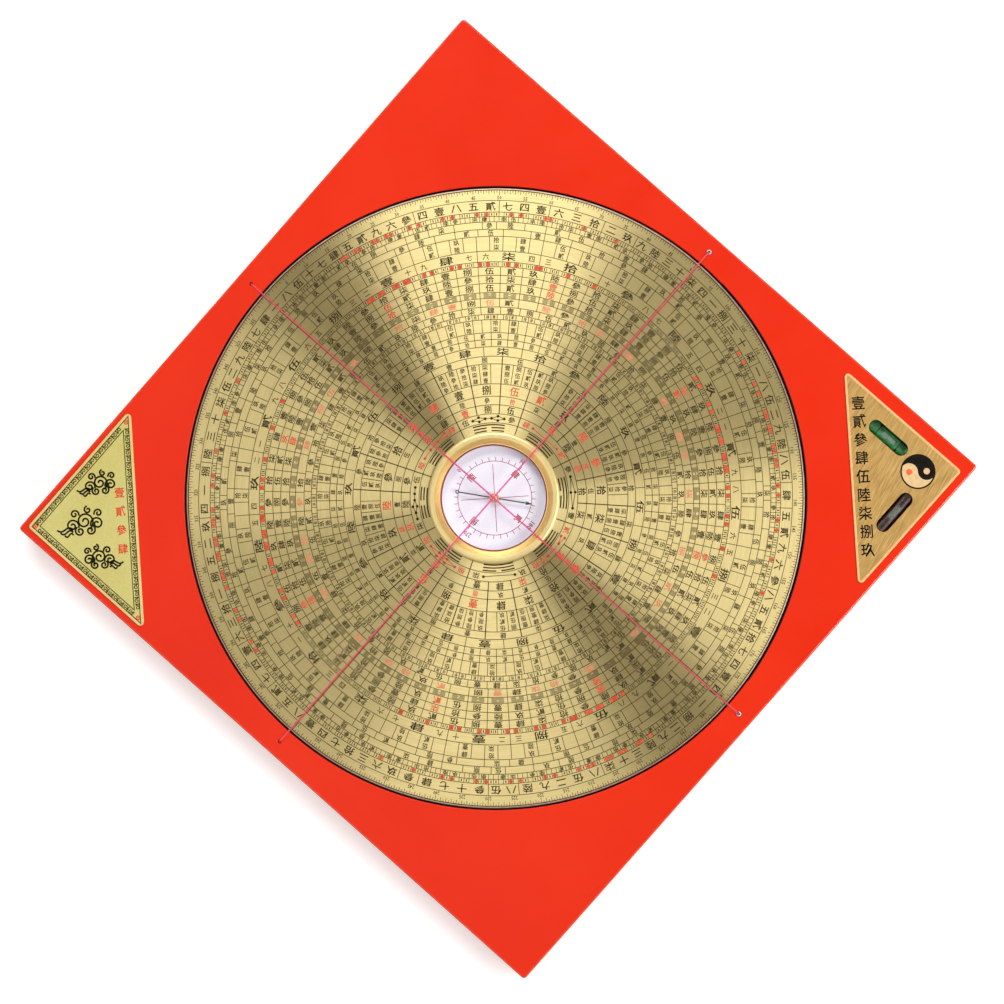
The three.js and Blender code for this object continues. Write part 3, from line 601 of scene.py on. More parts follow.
def laid(points, axis, centre):
    """Points of a shape built about Z, laid along the axis with its own Y upwards, and moved to centre."""
    if axis == "X":
        points = points[:, [2, 0, 1]]
    if axis == "Y":
        points = points[:, [0, 2, 1]] * (-1, 1, 1)
    return points + np.array(centre)


class Shell:
    """A mesh put together from loops of points: walls between loops, and flat faces across them."""

    def __init__(self):
        self.mesh = bmesh.new()

    def loop(self, points, z):
        return [self.mesh.verts.new((x, y, z)) for x, y in points]

    def walls(self, outline_at, rows):
        """Walls through an outline at each row of (its size, height). Gives the first and last loop."""
        loops = [self.loop(outline_at(size), z) for size, z in rows]
        for one, other in zip(loops, loops[1:]):
            for i in range(len(one)):
                j = (i + 1) % len(one)
                self.mesh.faces.new((one[i], one[j], other[j], other[i]))
        return loops[0], loops[-1]

    def flat(self, *loops):
        """Flat face between an outer loop and the loops of its holes."""
        edges = []
        for loop in loops:
            for a, b in zip(loop, loop[1:] + loop[:1]):
                edges.append(self.mesh.edges.get((a, b)) or self.mesh.edges.new((a, b)))
        bmesh.ops.triangle_fill(self.mesh, use_beauty=True, use_dissolve=False, edges=edges)

    def piece(self, name, axis="Z", centre=(0, 0, 0)):
        for vert in self.mesh.verts:
            vert.co = laid(np.array([vert.co]), axis, centre)[0]
        return welded(name, self.mesh)


def turned(name, profile, sides=RING_SIDES, axis="Z", centre=(0, 0, 0)):
    """Turned piece about a line through centre along the axis.
    Its profile of (radius, height) closes on itself."""
    angles = np.linspace(0, 2 * math.pi, sides, endpoint=False)
    radii, levels = np.array(profile).T
    across = [np.outer(np.cos(angles), radii), np.outer(np.sin(angles), radii), np.tile(levels, (sides, 1))]
    surface = bmesh.new()
    points = np.stack(across, axis=-1)
    rows = [[surface.verts.new(point) for point in laid(row, axis, centre)] for row in points]
    count = len(profile)
    for here, there in zip(rows, rows[1:] + rows[:1]):
        for j in range(count):
            k = (j + 1) % count
            if radii[j] or radii[k]:
                surface.faces.new((here[j], there[j], there[k], here[k]))
    return welded(name, surface)


# Materials

def paint(red, green, blue):
    """A colour as it looks on screen, turned into the linear values that shaders take."""
    parts = [c / 12.92 if c <= 0.04045 else ((c + 0.055) / 1.055) ** 2.4 for c in (red, green, blue)]
    return (*parts, 1)


def node(tree, kind, inputs=(), **settings):
    """New node with its settings, and its inputs set to values or joined to other nodes' sockets."""
    made = tree.nodes.new("ShaderNode" + kind)
    for name, value in settings.items():
        setattr(made, name, value)
    for name, value in dict(inputs).items():
        if isinstance(value, bpy.types.NodeSocket):
            tree.links.new(value, made.inputs[name])
        else:
            made.inputs[name].default_value = value
    return made


def math_value(tree, operation, first, second):
    return node(tree, "Math", {0: first, 1: second}, operation=operation).outputs["Value"]


def vector_math(tree, operation, first, second=(0, 0, 0)):
    return node(tree, "VectorMath", {0: first, 1: second}, operation=operation).outputs["Vector"]


# This script's materials by name. Blender's own list also holds the CAD model's, under the same names.
MATERIALS = {}


def new_material(name, **values):
    """A material's nodes and its Principled shader, with these values on the shader's own sockets."""
    made = bpy.data.materials.new(name)
    made.use_nodes = True
    MATERIALS[name] = made
    shader = made.node_tree.nodes["Principled BSDF"]
    for socket, value in values.items():
        shader.inputs[socket.replace("_", " ").title().replace("Ior", "IOR")].default_value = value
    return made.node_tree, shader


def surface_of(tree, shader):
    tree.links.new(shader.outputs[0], tree.nodes["Material Output"].inputs["Surface"])


def object_place(tree):
    return node(tree, "TexCoord").outputs["Object"]


def noise(tree, place, scale, detail=2, roughness=0.5):
    inputs = {"Vector": place, "Scale": scale, "Detail": detail, "Roughness": roughness}
    return node(tree, "TexNoise", inputs).outputs["Fac"]


def average(tree, first, second):
    return math_value(tree, "MULTIPLY", math_value(tree, "ADD", first, second), 0.5)


def tinted(tree, shader, factor, colours, spread=COLOUR_SPREAD):
    """Colours over the middle of a noise, from as far below a half as spread to as far above."""
    made = node(tree, "ValToRGB", {"Fac": factor})
    elements = made.color_ramp.elements
    while len(elements) < len(colours):
        elements.new(0.5)
    places = np.linspace(0.5 - spread, 0.5 + spread, len(colours))
    for element, place, colour in zip(elements, places, colours):
        element.position = place
        element.color = paint(*colour)
    tree.links.new(made.outputs["Color"], shader.inputs["Base Color"])


def between(tree, factor, lowest, highest):
    """A value that runs from lowest to highest as factor runs over the middle of a noise."""
    start, end = NOISE_RANGE
    inputs = {"Value": factor, "From Min": start, "From Max": end, "To Min": lowest, "To Max": highest}
    return node(tree, "MapRange", inputs).outputs["Result"]


def glossed(tree, shader, factor, lowest, highest):
    tree.links.new(between(tree, factor, lowest, highest), shader.inputs["Roughness"])


def bump(tree, shader, height, depth):
    """Bump of that depth, in metres, on the shader."""
    made = node(tree, "Bump", {"Height": height, "Distance": depth, "Strength": 1})
    tree.links.new(made.outputs["Normal"], shader.inputs["Normal"])


def streaks(tree, turn_deg, along, across):
    """Noise drawn out into streaks that run in one direction."""
    inputs = {"Vector": object_place(tree), "Angle": -math.radians(turn_deg)}
    place = node(tree, "VectorRotate", inputs, rotation_type="Z_AXIS").outputs["Vector"]
    place = vector_math(tree, "MULTIPLY", place, (1 / along, 1 / across, 1 / across))
    return noise(tree, place, 1, **STREAK_NOISE)


def ring_streaks(tree, across):
    """Noise drawn out into streaks that run round the Z axis."""
    flat = vector_math(tree, "MULTIPLY", object_place(tree), (1, 1, 0))
    radius = node(tree, "VectorMath", {0: flat}, operation="LENGTH").outputs["Value"]
    direction = vector_math(tree, "NORMALIZE", flat)
    direction = vector_math(tree, "MULTIPLY", direction, (RING_STREAK_SCALE, RING_STREAK_SCALE, 0))
    count = math_value(tree, "MULTIPLY", radius, 1 / across)
    rings = node(tree, "CombineXYZ", {"Z": count}).outputs["Vector"]
    return noise(tree, vector_math(tree, "ADD", direction, rings), 1, **STREAK_NOISE)


def lacquer():
    tree, shader = new_material("red_lacquer", **LACQUER_GLOSS)
    place = object_place(tree)
    cloud_scale, gloss_scale, peel_scale = LACQUER_SCALES
    tinted(tree, shader, noise(tree, place, cloud_scale, detail=3), LACQUER_COLOURS, LACQUER_SPREAD)
    glossed(tree, shader, noise(tree, place, gloss_scale), *LACQUER_ROUGHNESS)
    bump(tree, shader, noise(tree, place, peel_scale, detail=4), LACQUER_BUMP)


def brushed_ring_metal(name, dull, bright, roughness, anisotropic, grain_mm, metallic):
    """Metal brushed or turned in circles about Z."""
    tree, shader = new_material(
        name, metallic=metallic, anisotropic=anisotropic, anisotropic_rotation=BRUSHING_TURN_SHARE)
    streak = ring_streaks(tree, grain_mm * MM)
    tinted(tree, shader, streak, (dull, bright))
    glossed(tree, shader, streak, *roughness)
    tangent = node(tree, "Tangent", direction_type="RADIAL", axis="Z").outputs["Tangent"]
    tree.links.new(tangent, shader.inputs["Tangent"])


def brushed_plate():
    tree, shader = new_material("golden_brass", metallic=1)
    streak = streaks(tree, BRUSHING_DEG, *BRUSHED_STREAK)
    cloud = streaks(tree, BRUSHING_DEG, *BRUSHED_CLOUD)
    tinted(tree, shader, average(tree, streak, cloud), BRUSHED_COLOURS, BRUSHED_SPREAD)
    glossed(tree, shader, streak, *BRUSHED_ROUGHNESS)
    bump(tree, shader, streak, BRUSHED_BUMP)


def satin_metal(name, dull, bright):
    tree, shader = new_material(name, metallic=SATIN_METALLIC)
    place = object_place(tree)
    grain, cloud = (noise(tree, place, scale) for scale in SATIN_SCALES)
    tinted(tree, shader, average(tree, grain, cloud), (dull, bright), SATIN_SPREAD)
    glossed(tree, shader, grain, *SATIN_ROUGHNESS)


def black_wood():
    tree, shader = new_material("black_wood")
    grain = streaks(tree, 0, *WOOD_GRAIN)
    tinted(tree, shader, grain, WOOD_COLOURS)
    glossed(tree, shader, grain, *WOOD_ROUGHNESS)
    bump(tree, shader, grain, WOOD_BUMP)


def mottled(name, dark, pale, grain_mm, roughness, values):
    """Plain solid material with fine variation of colour and gloss."""
    tree, shader = new_material(name, **values)
    spots = noise(tree, object_place(tree), 1 / (grain_mm * MM), detail=3)
    tinted(tree, shader, spots, (dark, pale))
    glossed(tree, shader, spots, *roughness)
    if name in SEE_THROUGH:
        let_through(tree, shader, *SEE_THROUGH[name])


def let_through(tree, shader, tint, kept_share):
    """Lets light straight through a surface, tinted, but for the share that its shader keeps."""
    through = node(tree, "BsdfTransparent", {"Color": tint})
    surface_of(tree, node(tree, "MixShader", {0: kept_share, 1: through.outputs[0], 2: shader.outputs[0]}))


def clear(name, tint, smear_mm, mirror_share, roughness):
    """Clear glass, which mirrors more at a slant."""
    mirrored = paint(*CLEAR_MIRROR_COLOUR)
    tree, shader = new_material(name, roughness=roughness, metallic=1, base_color=mirrored)
    smears = noise(tree, object_place(tree), 1 / (smear_mm * MM))
    slant = node(tree, "LayerWeight", {"Blend": 0.5}).outputs["Facing"]
    slant = math_value(tree, "POWER", slant, CLEAR_MIRROR_POWER)
    least = between(tree, smears, mirror_share, SMEAR_GAIN * mirror_share)
    let_through(tree, shader, tint, math_value(tree, "ADD", slant, least))


def materials():
    lacquer()
    brushed_plate()
    black_wood()
    tables = {brushed_ring_metal: RING_METALS, satin_metal: SATIN_METALS, mottled: MOTTLED, clear: CLEAR}
    for make, table in tables.items():
        for name, values in table.items():
            make(name, *values)
    for name, colours in INKS.items():
        mottled(name, *colours, INK_GRAIN_MM, INK_ROUGHNESS, {"specular_ior_level": INK_SPECULAR})


def finished(piece, material, body, replaced=None):
    """Gives a piece its material and body, and hides the CAD node that it stands for."""
    piece.data.materials.clear()
    piece.data.materials.append(MATERIALS[material])
    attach(piece, body)
    if replaced:
        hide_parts(replaced)
    return piece


def painted(piece, material, inside):
    """Gives another material to the faces whose middle is inside."""
    piece.data.materials.append(MATERIALS[material])
    index = len(piece.data.materials) - 1
    for face in piece.data.polygons:
        if inside(*face.center):
            face.material_index = index


# Set-up of the scene

def camera():
    data = bpy.data.cameras.new("camera")
    data.lens = LENS_MM
    holder = link("camera", data)
    holder.location = CAMERA_PLACE
    holder.rotation_euler = CAMERA_TURN
    bpy.context.scene.camera = holder


def lamp(name, azimuth_deg, elevation_deg, distance, width, height, power):
    data = bpy.data.lights.new(name, "AREA")
    data.shape = "RECTANGLE"
    data.size = width
    data.size_y = height
    data.energy = power
    holder = link(name, data)
    out, up = polar(elevation_deg, distance)
    holder.location = (*polar(azimuth_deg, out), up)
    holder.rotation_euler = holder.location.to_track_quat("Z", "Y").to_euler()


def floor():
    """Pale floor that glows for the camera and in mirrors, so that the background is white."""
    mesh = bpy.data.meshes.new("floor")
    mesh.from_pydata([(x, y, 0) for x, y in square(FLOOR_SIZE / 2)], [], [(0, 1, 2, 3)])
    piece = link("floor", mesh)
    tree, shader = new_material("floor", roughness=FLOOR_ROUGHNESS, base_color=FLOOR_COLOUR)
    rays = node(tree, "LightPath").outputs
    seen = math_value(tree, "ADD", rays["Is Camera Ray"], rays["Is Glossy Ray"])
    seen = math_value(tree, "ADD", seen, rays["Is Transmission Ray"])
    light = node(tree, "Emission", {"Strength": math_value(tree, "MULTIPLY", seen, FLOOR_GLOW)})
    surface_of(tree, node(tree, "AddShader", {0: shader.outputs[0], 1: light.outputs[0]}))
    mesh.materials.append(MATERIALS["floor"])


def surroundings():
    world = bpy.data.worlds.new("studio")
    world.use_nodes = True
    background = world.node_tree.nodes["Background"].inputs
    background["Strength"].default_value = WORLD_STRENGTH
    background["Color"].default_value = WORLD_COLOUR
    bpy.context.scene.world = world
    for name, values in LAMPS.items():
        lamp(name, *values)
    floor()
    bpy.context.scene.view_settings.view_transform = "Standard"


# Board

def vial_place(name):
    """Middle of a vial's window, and how far the centres of its round ends lie from it in X and Y."""
    x, y, _ = middle_of(f"{name}_vial_tube")
    reach = WINDOW_LENGTH / 2 - WINDOW_WIDTH / 2
    return (x, y, 0, reach) if name == "red" else (x, y, reach, 0)


def pocket_outline(name):
    start, end = low(f"{name}_vial_tube"), high(f"{name}_vial_tube")
    x0, y0 = start.x - POCKET_GAP, start.y - POCKET_GAP
    x1, y1 = end.x + POCKET_GAP, end.y + POCKET_GAP
    return [(x0, y0), (x1, y0), (x1, y1), (x0, y1)]


def board_body():
    shell = Shell()
    corners = square(HALF_SIDE)
    rows = edge_rows(BOARD_EDGE_R, 0, 1) + edge_rows(BOARD_EDGE_R, BOARD_TOP, -1)[::-1]
    underside, top = shell.walls(lambda inset: rounded_polygon(corners, BOARD_CORNER_R, inset), rows)
    rows = edge_rows(RECESS_EDGE_R, BOARD_TOP, -1) + [(0, RECESS_FLOOR)]
    start, end = shell.walls(lambda inset: circle(0, 0, RECESS_R + inset, RIM_SIDES), rows)
    shell.flat(end)
    top_holes = [start]
    bottom_holes = []
    for x, y, hole_r in ANCHOR_HOLES:
        rows = [(hole_r + inset, z) for inset, z in edge_rows(HOLE_EDGE_R, BOARD_TOP, -1)]
        rows += [(hole_r, KNOT_ROOM_DEPTH), (KNOT_ROOM_R, KNOT_ROOM_DEPTH), (KNOT_ROOM_R, 0)]
        start, end = shell.walls(lambda radius: circle(x, y, radius, SMALL_SIDES), rows)
        top_holes.append(start)
        bottom_holes.append(end)
    for name in ("green", "red"):
        outline = pocket_outline(name)
        rows = [(0, BOARD_TOP), (0, low(f"{name}_vial_tube").z - POCKET_GAP)]
        start, end = shell.walls(lambda inset: outline, rows)
        shell.flat(end)
        top_holes.append(start)
    shell.flat(top, *top_holes)
    shell.flat(underside, *bottom_holes)
    piece = finished(shell.piece("lacquered_board"), "red_lacquer", "board", "board")
    # The recess and the vial pockets are painted dark maroon as shade.
    painted(piece, "recess_paint", in_shaded_recess_or_pocket)
    # The board's rounded top edge gets a paler colour as a painted highlight.
    painted(piece, "lacquer_edge", on_top_edge)


def in_shaded_recess_or_pocket(x, y, z):
    """Whether a place on the board's surface lies on the dial's recess or in a vial's pocket, which are
    painted dark maroon as shade.
    """
    reach = math.hypot(x, y)
    on_side = max(abs(x), abs(y)) > HALF_SIDE - 2 * BOARD_EDGE_R
    in_recess = reach < RECESS_R + RECESS_EDGE_R / 2 and z < BOARD_TOP - RECESS_EDGE_R
    in_pocket = reach > RECESS_R and x + y > HALF_SIDE and z < BOARD_TOP
    return z > 0 and not on_side and (in_recess or in_pocket)


def on_top_edge(x, y, z):
    """Whether a place on the board's surface lies on the rounded edge round its top, which gets a paler
    colour as a painted highlight.
    """
    beside_top = max(abs(x), abs(y)) > HALF_SIDE - BOARD_EDGE_R
    return beside_top and BOARD_TOP - BOARD_EDGE_R < z < BOARD_TOP - PRINT_STEP


# Corner plates

def plate_corners(node_name):
    """The plate's right-angled corner and then its two sharp ones, before they are rounded."""
    start, end = low(node_name), high(node_name)
    side, near, far = (1, end, start) if end.x > 0 else (-1, start, end)
    lost = side * math.sqrt(2) * PLATE_CORNER_R
    return [(near.x, near.y), (far.x - lost, near.y), (near.x, far.y - lost)]


def corner_plate(node_name, material, windows=()):
    shell = Shell()
    bottom, top = heights(node_name)
    corners = plate_corners(node_name)
    rows = [(0, bottom)] + edge_rows(PLATE_EDGE_R, top, -1)[::-1]
    ends = [shell.walls(lambda inset: rounded_polygon(corners, PLATE_CORNER_R, inset), rows)]
    ends += [shell.walls(lambda inset: capsule_outline(place, inset), rows) for place in windows]
    bottoms, tops = zip(*ends)
    shell.flat(*tops)
    shell.flat(*bottoms)
    finished(shell.piece(f"{node_name}_face"), material, "board", node_name)


# Printing: flat figures gathered per ink, each ink made into one thin sheet

class Print:
    """Thin flat sheet of one ink at one height."""

    def __init__(self, height):
        self.height = height
        self.points = []
        self.faces = []
        self.count = 0

    def add(self, points, faces):
        self.points.append(np.asarray(points, float))
        self.faces.append(np.asarray(faces) + self.count)
        self.count += len(points)

    def dot(self, x, y, radius, sides=DOT_SIDES):
        self.add(circle(x, y, radius, sides), [(0, i, i + 1) for i in range(1, sides - 1)])

    def band(self, outer, inner, closed=True):
        """Strip between two lines of as many points."""
        n = len(inner)
        faces = []
        for i in range(n if closed else n - 1):
            j = (i + 1) % n
            faces += [(i, n + i, n + j), (i, n + j, j)]
        self.add([*inner, *outer], faces)

    def stroke(self, points, width):
        """Line of even width through the points."""
        points = np.asarray(points, float)
        ahead = unit(np.gradient(points, axis=0))
        side = np.stack([-ahead[:, 1], ahead[:, 0]], axis=1) * width / 2
        self.band(points - side, points + side, closed=False)

    def arc(self, radius, start_deg, end_deg, width):
        steps = max(2, round(abs(end_deg - start_deg) / ARC_STEP_DEG))
        self.stroke(arc_points(0, 0, radius, start_deg, end_deg, steps), width)

    def ring(self, radius, width, x=0, y=0, sides=360):
        self.band(circle(x, y, radius + width / 2, sides), circle(x, y, radius - width / 2, sides))

    def spoke(self, angle_deg, inner, outer, width):
        """Radial line."""
        self.stroke([polar(angle_deg, inner), polar(angle_deg, outer)], width)

    def sign(self, text, place, up_deg, width, height):
        """Numeral centred at a place, its top towards up_deg."""
        points, faces = sign_shape(text)
        up = polar(up_deg)
        right = np.array((up[1], -up[0]))
        self.add(np.outer(points[:, 0] * width, right) + np.outer(points[:, 1] * height, up) + place, faces)

    def polar_sign(self, text, radius, angle_deg, width, height):
        """Numeral on the dial, its top outwards."""
        self.sign(text, polar(angle_deg, radius), angle_deg, width, height)

    def piece(self, name, material, body, slot):
        points = np.vstack(self.points)
        points = np.column_stack([points, np.full(len(points), self.height)])
        mesh = bpy.data.meshes.new(name)
        mesh.from_pydata(points.tolist(), [], np.vstack(self.faces).tolist())
        up = bmesh.new()
        up.from_mesh(mesh)
        bmesh.ops.reverse_faces(up, faces=[face for face in up.faces if face.normal.z < 0])
        up.to_mesh(mesh)
        up.free()
        finished(link(name, mesh), material, body)


SIGN_SHAPES = {}


def sign_shape(text):
    """Flat points and triangles of a numeral, one unit wide and high about its middle."""
    if text not in SIGN_SHAPES:
        curve = bpy.data.curves.new("sign", "FONT")
        curve.body = text
        curve.resolution_u = 1
        curve.fill_mode = "FRONT"
        curve.bevel_depth = SIGN_BOLDNESS_SHARE
        curve.bevel_resolution = 0
        holder = link("sign", curve)
        graph = bpy.context.evaluated_depsgraph_get()
        mesh = bpy.data.meshes.new_from_object(holder.evaluated_get(graph))
        mesh.calc_loop_triangles()
        points = np.array([v.co[:2] for v in mesh.vertices], float).reshape(-1, 2)
        faces = np.array([t.vertices[:] for t in mesh.loop_triangles], int).reshape(-1, 3)
        bpy.data.objects.remove(holder)
        bpy.data.curves.remove(curve)
        bpy.data.meshes.remove(mesh)
        room = np.ptp(points, axis=0) if text.isdigit() else np.array(SIGN_ROOM)
        SIGN_SHAPES[text] = ((points - (points.min(0) + points.max(0)) / 2) / room, faces)
    return SIGN_SHAPES[text]


def bearing(angle):
    """Figures of a bearing, which count clockwise with 0 at the side away from +X."""
    return str((180 - angle) % 360)


# The dial's printing

class DialInks:
    """The dial's inks, one sheet each, from the lowest up."""

    def __init__(self):
        heights_up = [DIAL_FACE + PRINT_LIFT + step * PRINT_STEP for step in range(4)]
        self.line, self.black, self.red, self.pink = (Print(height) for height in heights_up)
        self.lettered = {"x": self.black, "r": self.red, "p": self.pink}


def ring_room(index):
    """A ring's outer and inner radius, middle and depth."""
    outer, inner = RING_EDGES[index], RING_EDGES[index + 1]
    return outer, inner, (outer + inner) / 2, outer - inner


def cell_middles(cells, turn_deg=0):
    """Numbers of even cells, and the angles of their middles."""
    return [(k, DIAL_START_DEG + turn_deg + 360 / cells * (k + 0.5)) for k in range(cells)]


def rings_and_dividers(inks):
    for radius in RING_EDGES:
        inks.line.ring(radius, THICK_LINE_WIDTH if radius == RING_EDGES[0] else LINE_WIDTH)
    for index, cells in RING_CELLS.items():
        outer, inner, _, _ = ring_room(index)
        start_deg = DIAL_START_DEG + CELL_TURNS_DEG.get(index, 0)
        width = TICK_WIDTH if cells == 360 else LINE_WIDTH
        for k in range(cells):
            inks.line.spoke(start_deg + 360 / cells * k, inner, outer, width)


def signs_in_cells(inks, index, cells, pattern, wide_share, tall_share, rows, turn_deg):
    outer, _, _, depth = ring_room(index)
    depth /= rows
    for k, angle in cell_middles(cells, turn_deg):
        sheet = inks.lettered.get(pattern[k % len(pattern)])
        if sheet is None:
            continue
        for row in range(rows):
            radius = outer - depth * (row + 0.5)
            text = FORMAL_NUMERALS[(3 * k + 7 * row + 5 * index) % 10]
            width = min(wide_share * radius * math.radians(360 / cells), SIGN_STRETCH * depth)
            sheet.polar_sign(text, radius, angle, width, tall_share * depth)


def degree_scale(inks):
    outer, inner, _, depth = ring_room(0)
    for k in range(2 * 360):
        share = HALF_TICK_SHARE if k % 2 else TICK_SHARE
        if k % 20 == 0:
            share = TEN_TICK_SHARE
        inks.line.spoke(DIAL_START_DEG + k / 2, outer - share * depth, outer, TICK_WIDTH)
    place, wide, tall = (share * depth for share in FIGURE_SHARES)
    for angle in range(0, 360, 5):
        text = bearing(angle)
        inks.black.polar_sign(text, inner + place, DIAL_START_DEG + angle, wide * len(text), tall)


def uneven_ring(inks, index):
    outer, inner, middle, depth = ring_room(index)
    wide, tall = (share * depth for share in UNEVEN_SIGN_SHARES)
    angle = UNEVEN_START_DEG
    for k, stretch in enumerate(UNEVEN_STRETCHES):
        inks.line.spoke(angle, inner, outer, LINE_WIDTH)
        width_deg = stretch * 360 / sum(UNEVEN_STRETCHES)
        count = max(1, int(width_deg // UNEVEN_SIGN_ROOM_DEG))
        for i in range(count):
            numerals = SMALL_NUMERALS if i % 3 else FORMAL_NUMERALS
            place = angle + width_deg * (i + 0.5) / count
            inks.black.polar_sign(numerals[(k + 3 * i) % 10], middle, place, wide, tall)
        angle += width_deg


def degree_marks(inks, index):
    """Single-degree cells, some with a red dot and most others with a black mark."""
    outer, inner, middle, depth = ring_room(index)
    inset = MARK_INSET_SHARE * depth
    for degree, angle in cell_middles(360):
        inks.line.spoke(DIAL_START_DEG + degree, inner, outer, TICK_WIDTH)
        letter = DOT_PATTERN[degree // DOT_STRETCH_DEG % len(DOT_PATTERN)]
        if degree * degree % 7 in DOT_REMAINDERS[letter]:
            inks.red.dot(*polar(angle, middle), DOT_SHARE * depth)
        elif degree % 3:
            inks.black.spoke(angle, inner + inset, outer - inset, THICK_LINE_WIDTH)


def sparse_ring(inks, index, shift):
    """Narrow ring with dividers 3 to 6 degrees apart and small numerals in most of its cells."""
    outer, inner, middle, depth = ring_room(index)
    size = SPARSE_SIGN_SHARE * depth
    angle = DIAL_START_DEG
    k = 0
    while angle < 360:
        inks.line.spoke(angle, inner, outer, LINE_WIDTH)
        stretch = SPARSE_STRETCHES[(k + shift) % len(SPARSE_STRETCHES)]
        if (k + shift) % 3:
            text = FORMAL_NUMERALS[(7 * k + shift) % 10]
            inks.black.polar_sign(text, middle, angle + stretch / 2, size, size)
        angle += stretch
        k += 1


def broad_signs(inks, index):
    _, _, middle, depth = ring_room(index)
    sizes = [share * depth for share in BROAD_SIGN_SHARES]
    for k, angle in cell_middles(RING_CELLS[index]):
        inks.black.polar_sign(FORMAL_NUMERALS[7 * k % 10], middle, angle, *sizes)


def side_signs(inks, index):
    """Small numerals on both sides of the broad ones."""
    _, _, middle, depth = ring_room(index)
    sizes = [share * depth for share in SIDE_SIGN_SHARES]
    for k, angle in cell_middles(RING_CELLS[index]):
        for side in (-1, 1):
            text = SMALL_NUMERALS[(3 * k + side) % 10]
            inks.line.polar_sign(text, middle, angle + SIDE_SIGN_DEG * side, *sizes)


def whole_or_broken(sheet, whole, radius, angle, depth, half_deg, gap_deg, width_share):
    """Line of a trigram or hexagram about an angle."""
    parts = [(-half_deg, half_deg)] if whole else [(-half_deg, -gap_deg), (gap_deg, half_deg)]
    for start, end in parts:
        sheet.arc(radius, angle + start, angle + end, width_share * depth)


def hexagrams(inks, index):
    _, inner, _, depth = ring_room(index)
    for k, angle in cell_middles(RING_CELLS[index]):
        for row in range(HEXAGRAM_ROWS):
            radius = inner + depth * (row + 1) / (HEXAGRAM_ROWS + 1)
            whole_or_broken(inks.line, k >> row & 1, radius, angle, depth, *HEXAGRAM_LINE)


def trigrams(inks, index):
    _, inner, _, depth = ring_room(index)
    first_share, pitch_share = TRIGRAM_ROW_SHARES
    for k, lines in enumerate(TRIGRAMS):
        for row, letter in enumerate(lines):
            radius = inner + depth * (first_share + pitch_share * row)
            whole_or_broken(inks.black, letter == "1", radius, DIAL_START_DEG + 45 * k, depth, *TRIGRAM_LINE)


def star_figures(inks, index):
    """Figures of stars joined by lines, one beyond each trigram, between two numerals."""
    _, _, middle, depth = ring_room(index)
    rise = STAR_RISE_SHARE * depth
    wide, tall = (share * depth for share in STAR_SIGN_SHARES)
    for k, columns in enumerate(STAR_FIGURES):
        centre = 45 * k + DIAL_START_DEG
        sheet = inks.black if k % 2 else inks.red
        places = []
        for angle, count in zip(np.linspace(STAR_SPREAD_DEG, -STAR_SPREAD_DEG, len(columns)), columns):
            radii = [middle] if count == "1" else [middle - rise, middle + rise]
            places.append([polar(centre + angle, radius) for radius in radii])
        for here, there in zip(places, places[1:]):
            for one in here:
                for other in there:
                    sheet.stroke([one, other], LINE_WIDTH)
        for x, y in sum(places, []):
            sheet.dot(x, y, STAR_SHARE * depth)
        for side in (-1, 1):
            text = FORMAL_NUMERALS[(k + side) % 10]
            sheet.polar_sign(text, middle, centre + STAR_SIGN_DEG * side, wide, tall)


def thick_spokes(inks):
    """Thick lines across the inner rings, every third of them down to the trigrams."""
    for k, angle in cell_middles(3 * len(TRIGRAMS)):
        last = -1 if k % 3 == 1 else -3
        inks.line.spoke(angle, RING_EDGES[last], RING_EDGES[SPOKE_RING], THICK_LINE_WIDTH)


def dial_printing():
    inks = DialInks()
    rings_and_dividers(inks)
    degree_scale(inks)
    uneven_ring(inks, 1)
    degree_marks(inks, 2)
    sparse_ring(inks, 4, 0)
    sparse_ring(inks, 5, 2)
    broad_signs(inks, 7)
    side_signs(inks, 7)
    degree_marks(inks, 8)
    hexagrams(inks, 12)
    broad_signs(inks, 19)
    for values in RING_SIGNS:
        signs_in_cells(inks, *values)
    star_figures(inks, 25)
    trigrams(inks, 26)
    thick_spokes(inks)
    inks.line.piece("dial_rings_and_lines", "line_ink", "dial", "printed_brass")
    inks.black.piece("dial_black_numerals", "numeral_ink", "dial", "printed_brass")
    inks.red.piece("dial_red_numerals", "dial_red_ink", "dial", "printed_brass")
    inks.pink.piece("dial_pale_red_numerals", "pink_ink", "dial", "printed_brass")


def dial_face():
    profile = [(DIAL_HOLE_R, DIAL_PLATE_LOW), (DIAL_R, DIAL_PLATE_LOW)]
    profile += top_edge(DIAL_R, DIAL_FACE, DIAL_EDGE_R)
    profile += [(DIAL_HOLE_R, DIAL_FACE)]
    face = finished(turned("dial_face", profile, RIM_SIDES), "printed_brass", "dial", "dial_plate")
    # The unprinted rounded rim gets a pale silvery colour as a painted highlight.
    painted(face, "bare_rim", lambda x, y, z: math.hypot(x, y) > PRINTED_R)
    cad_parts["dial_base"].material_slots[0].material = MATERIALS["black_wood"]


# The needle compass

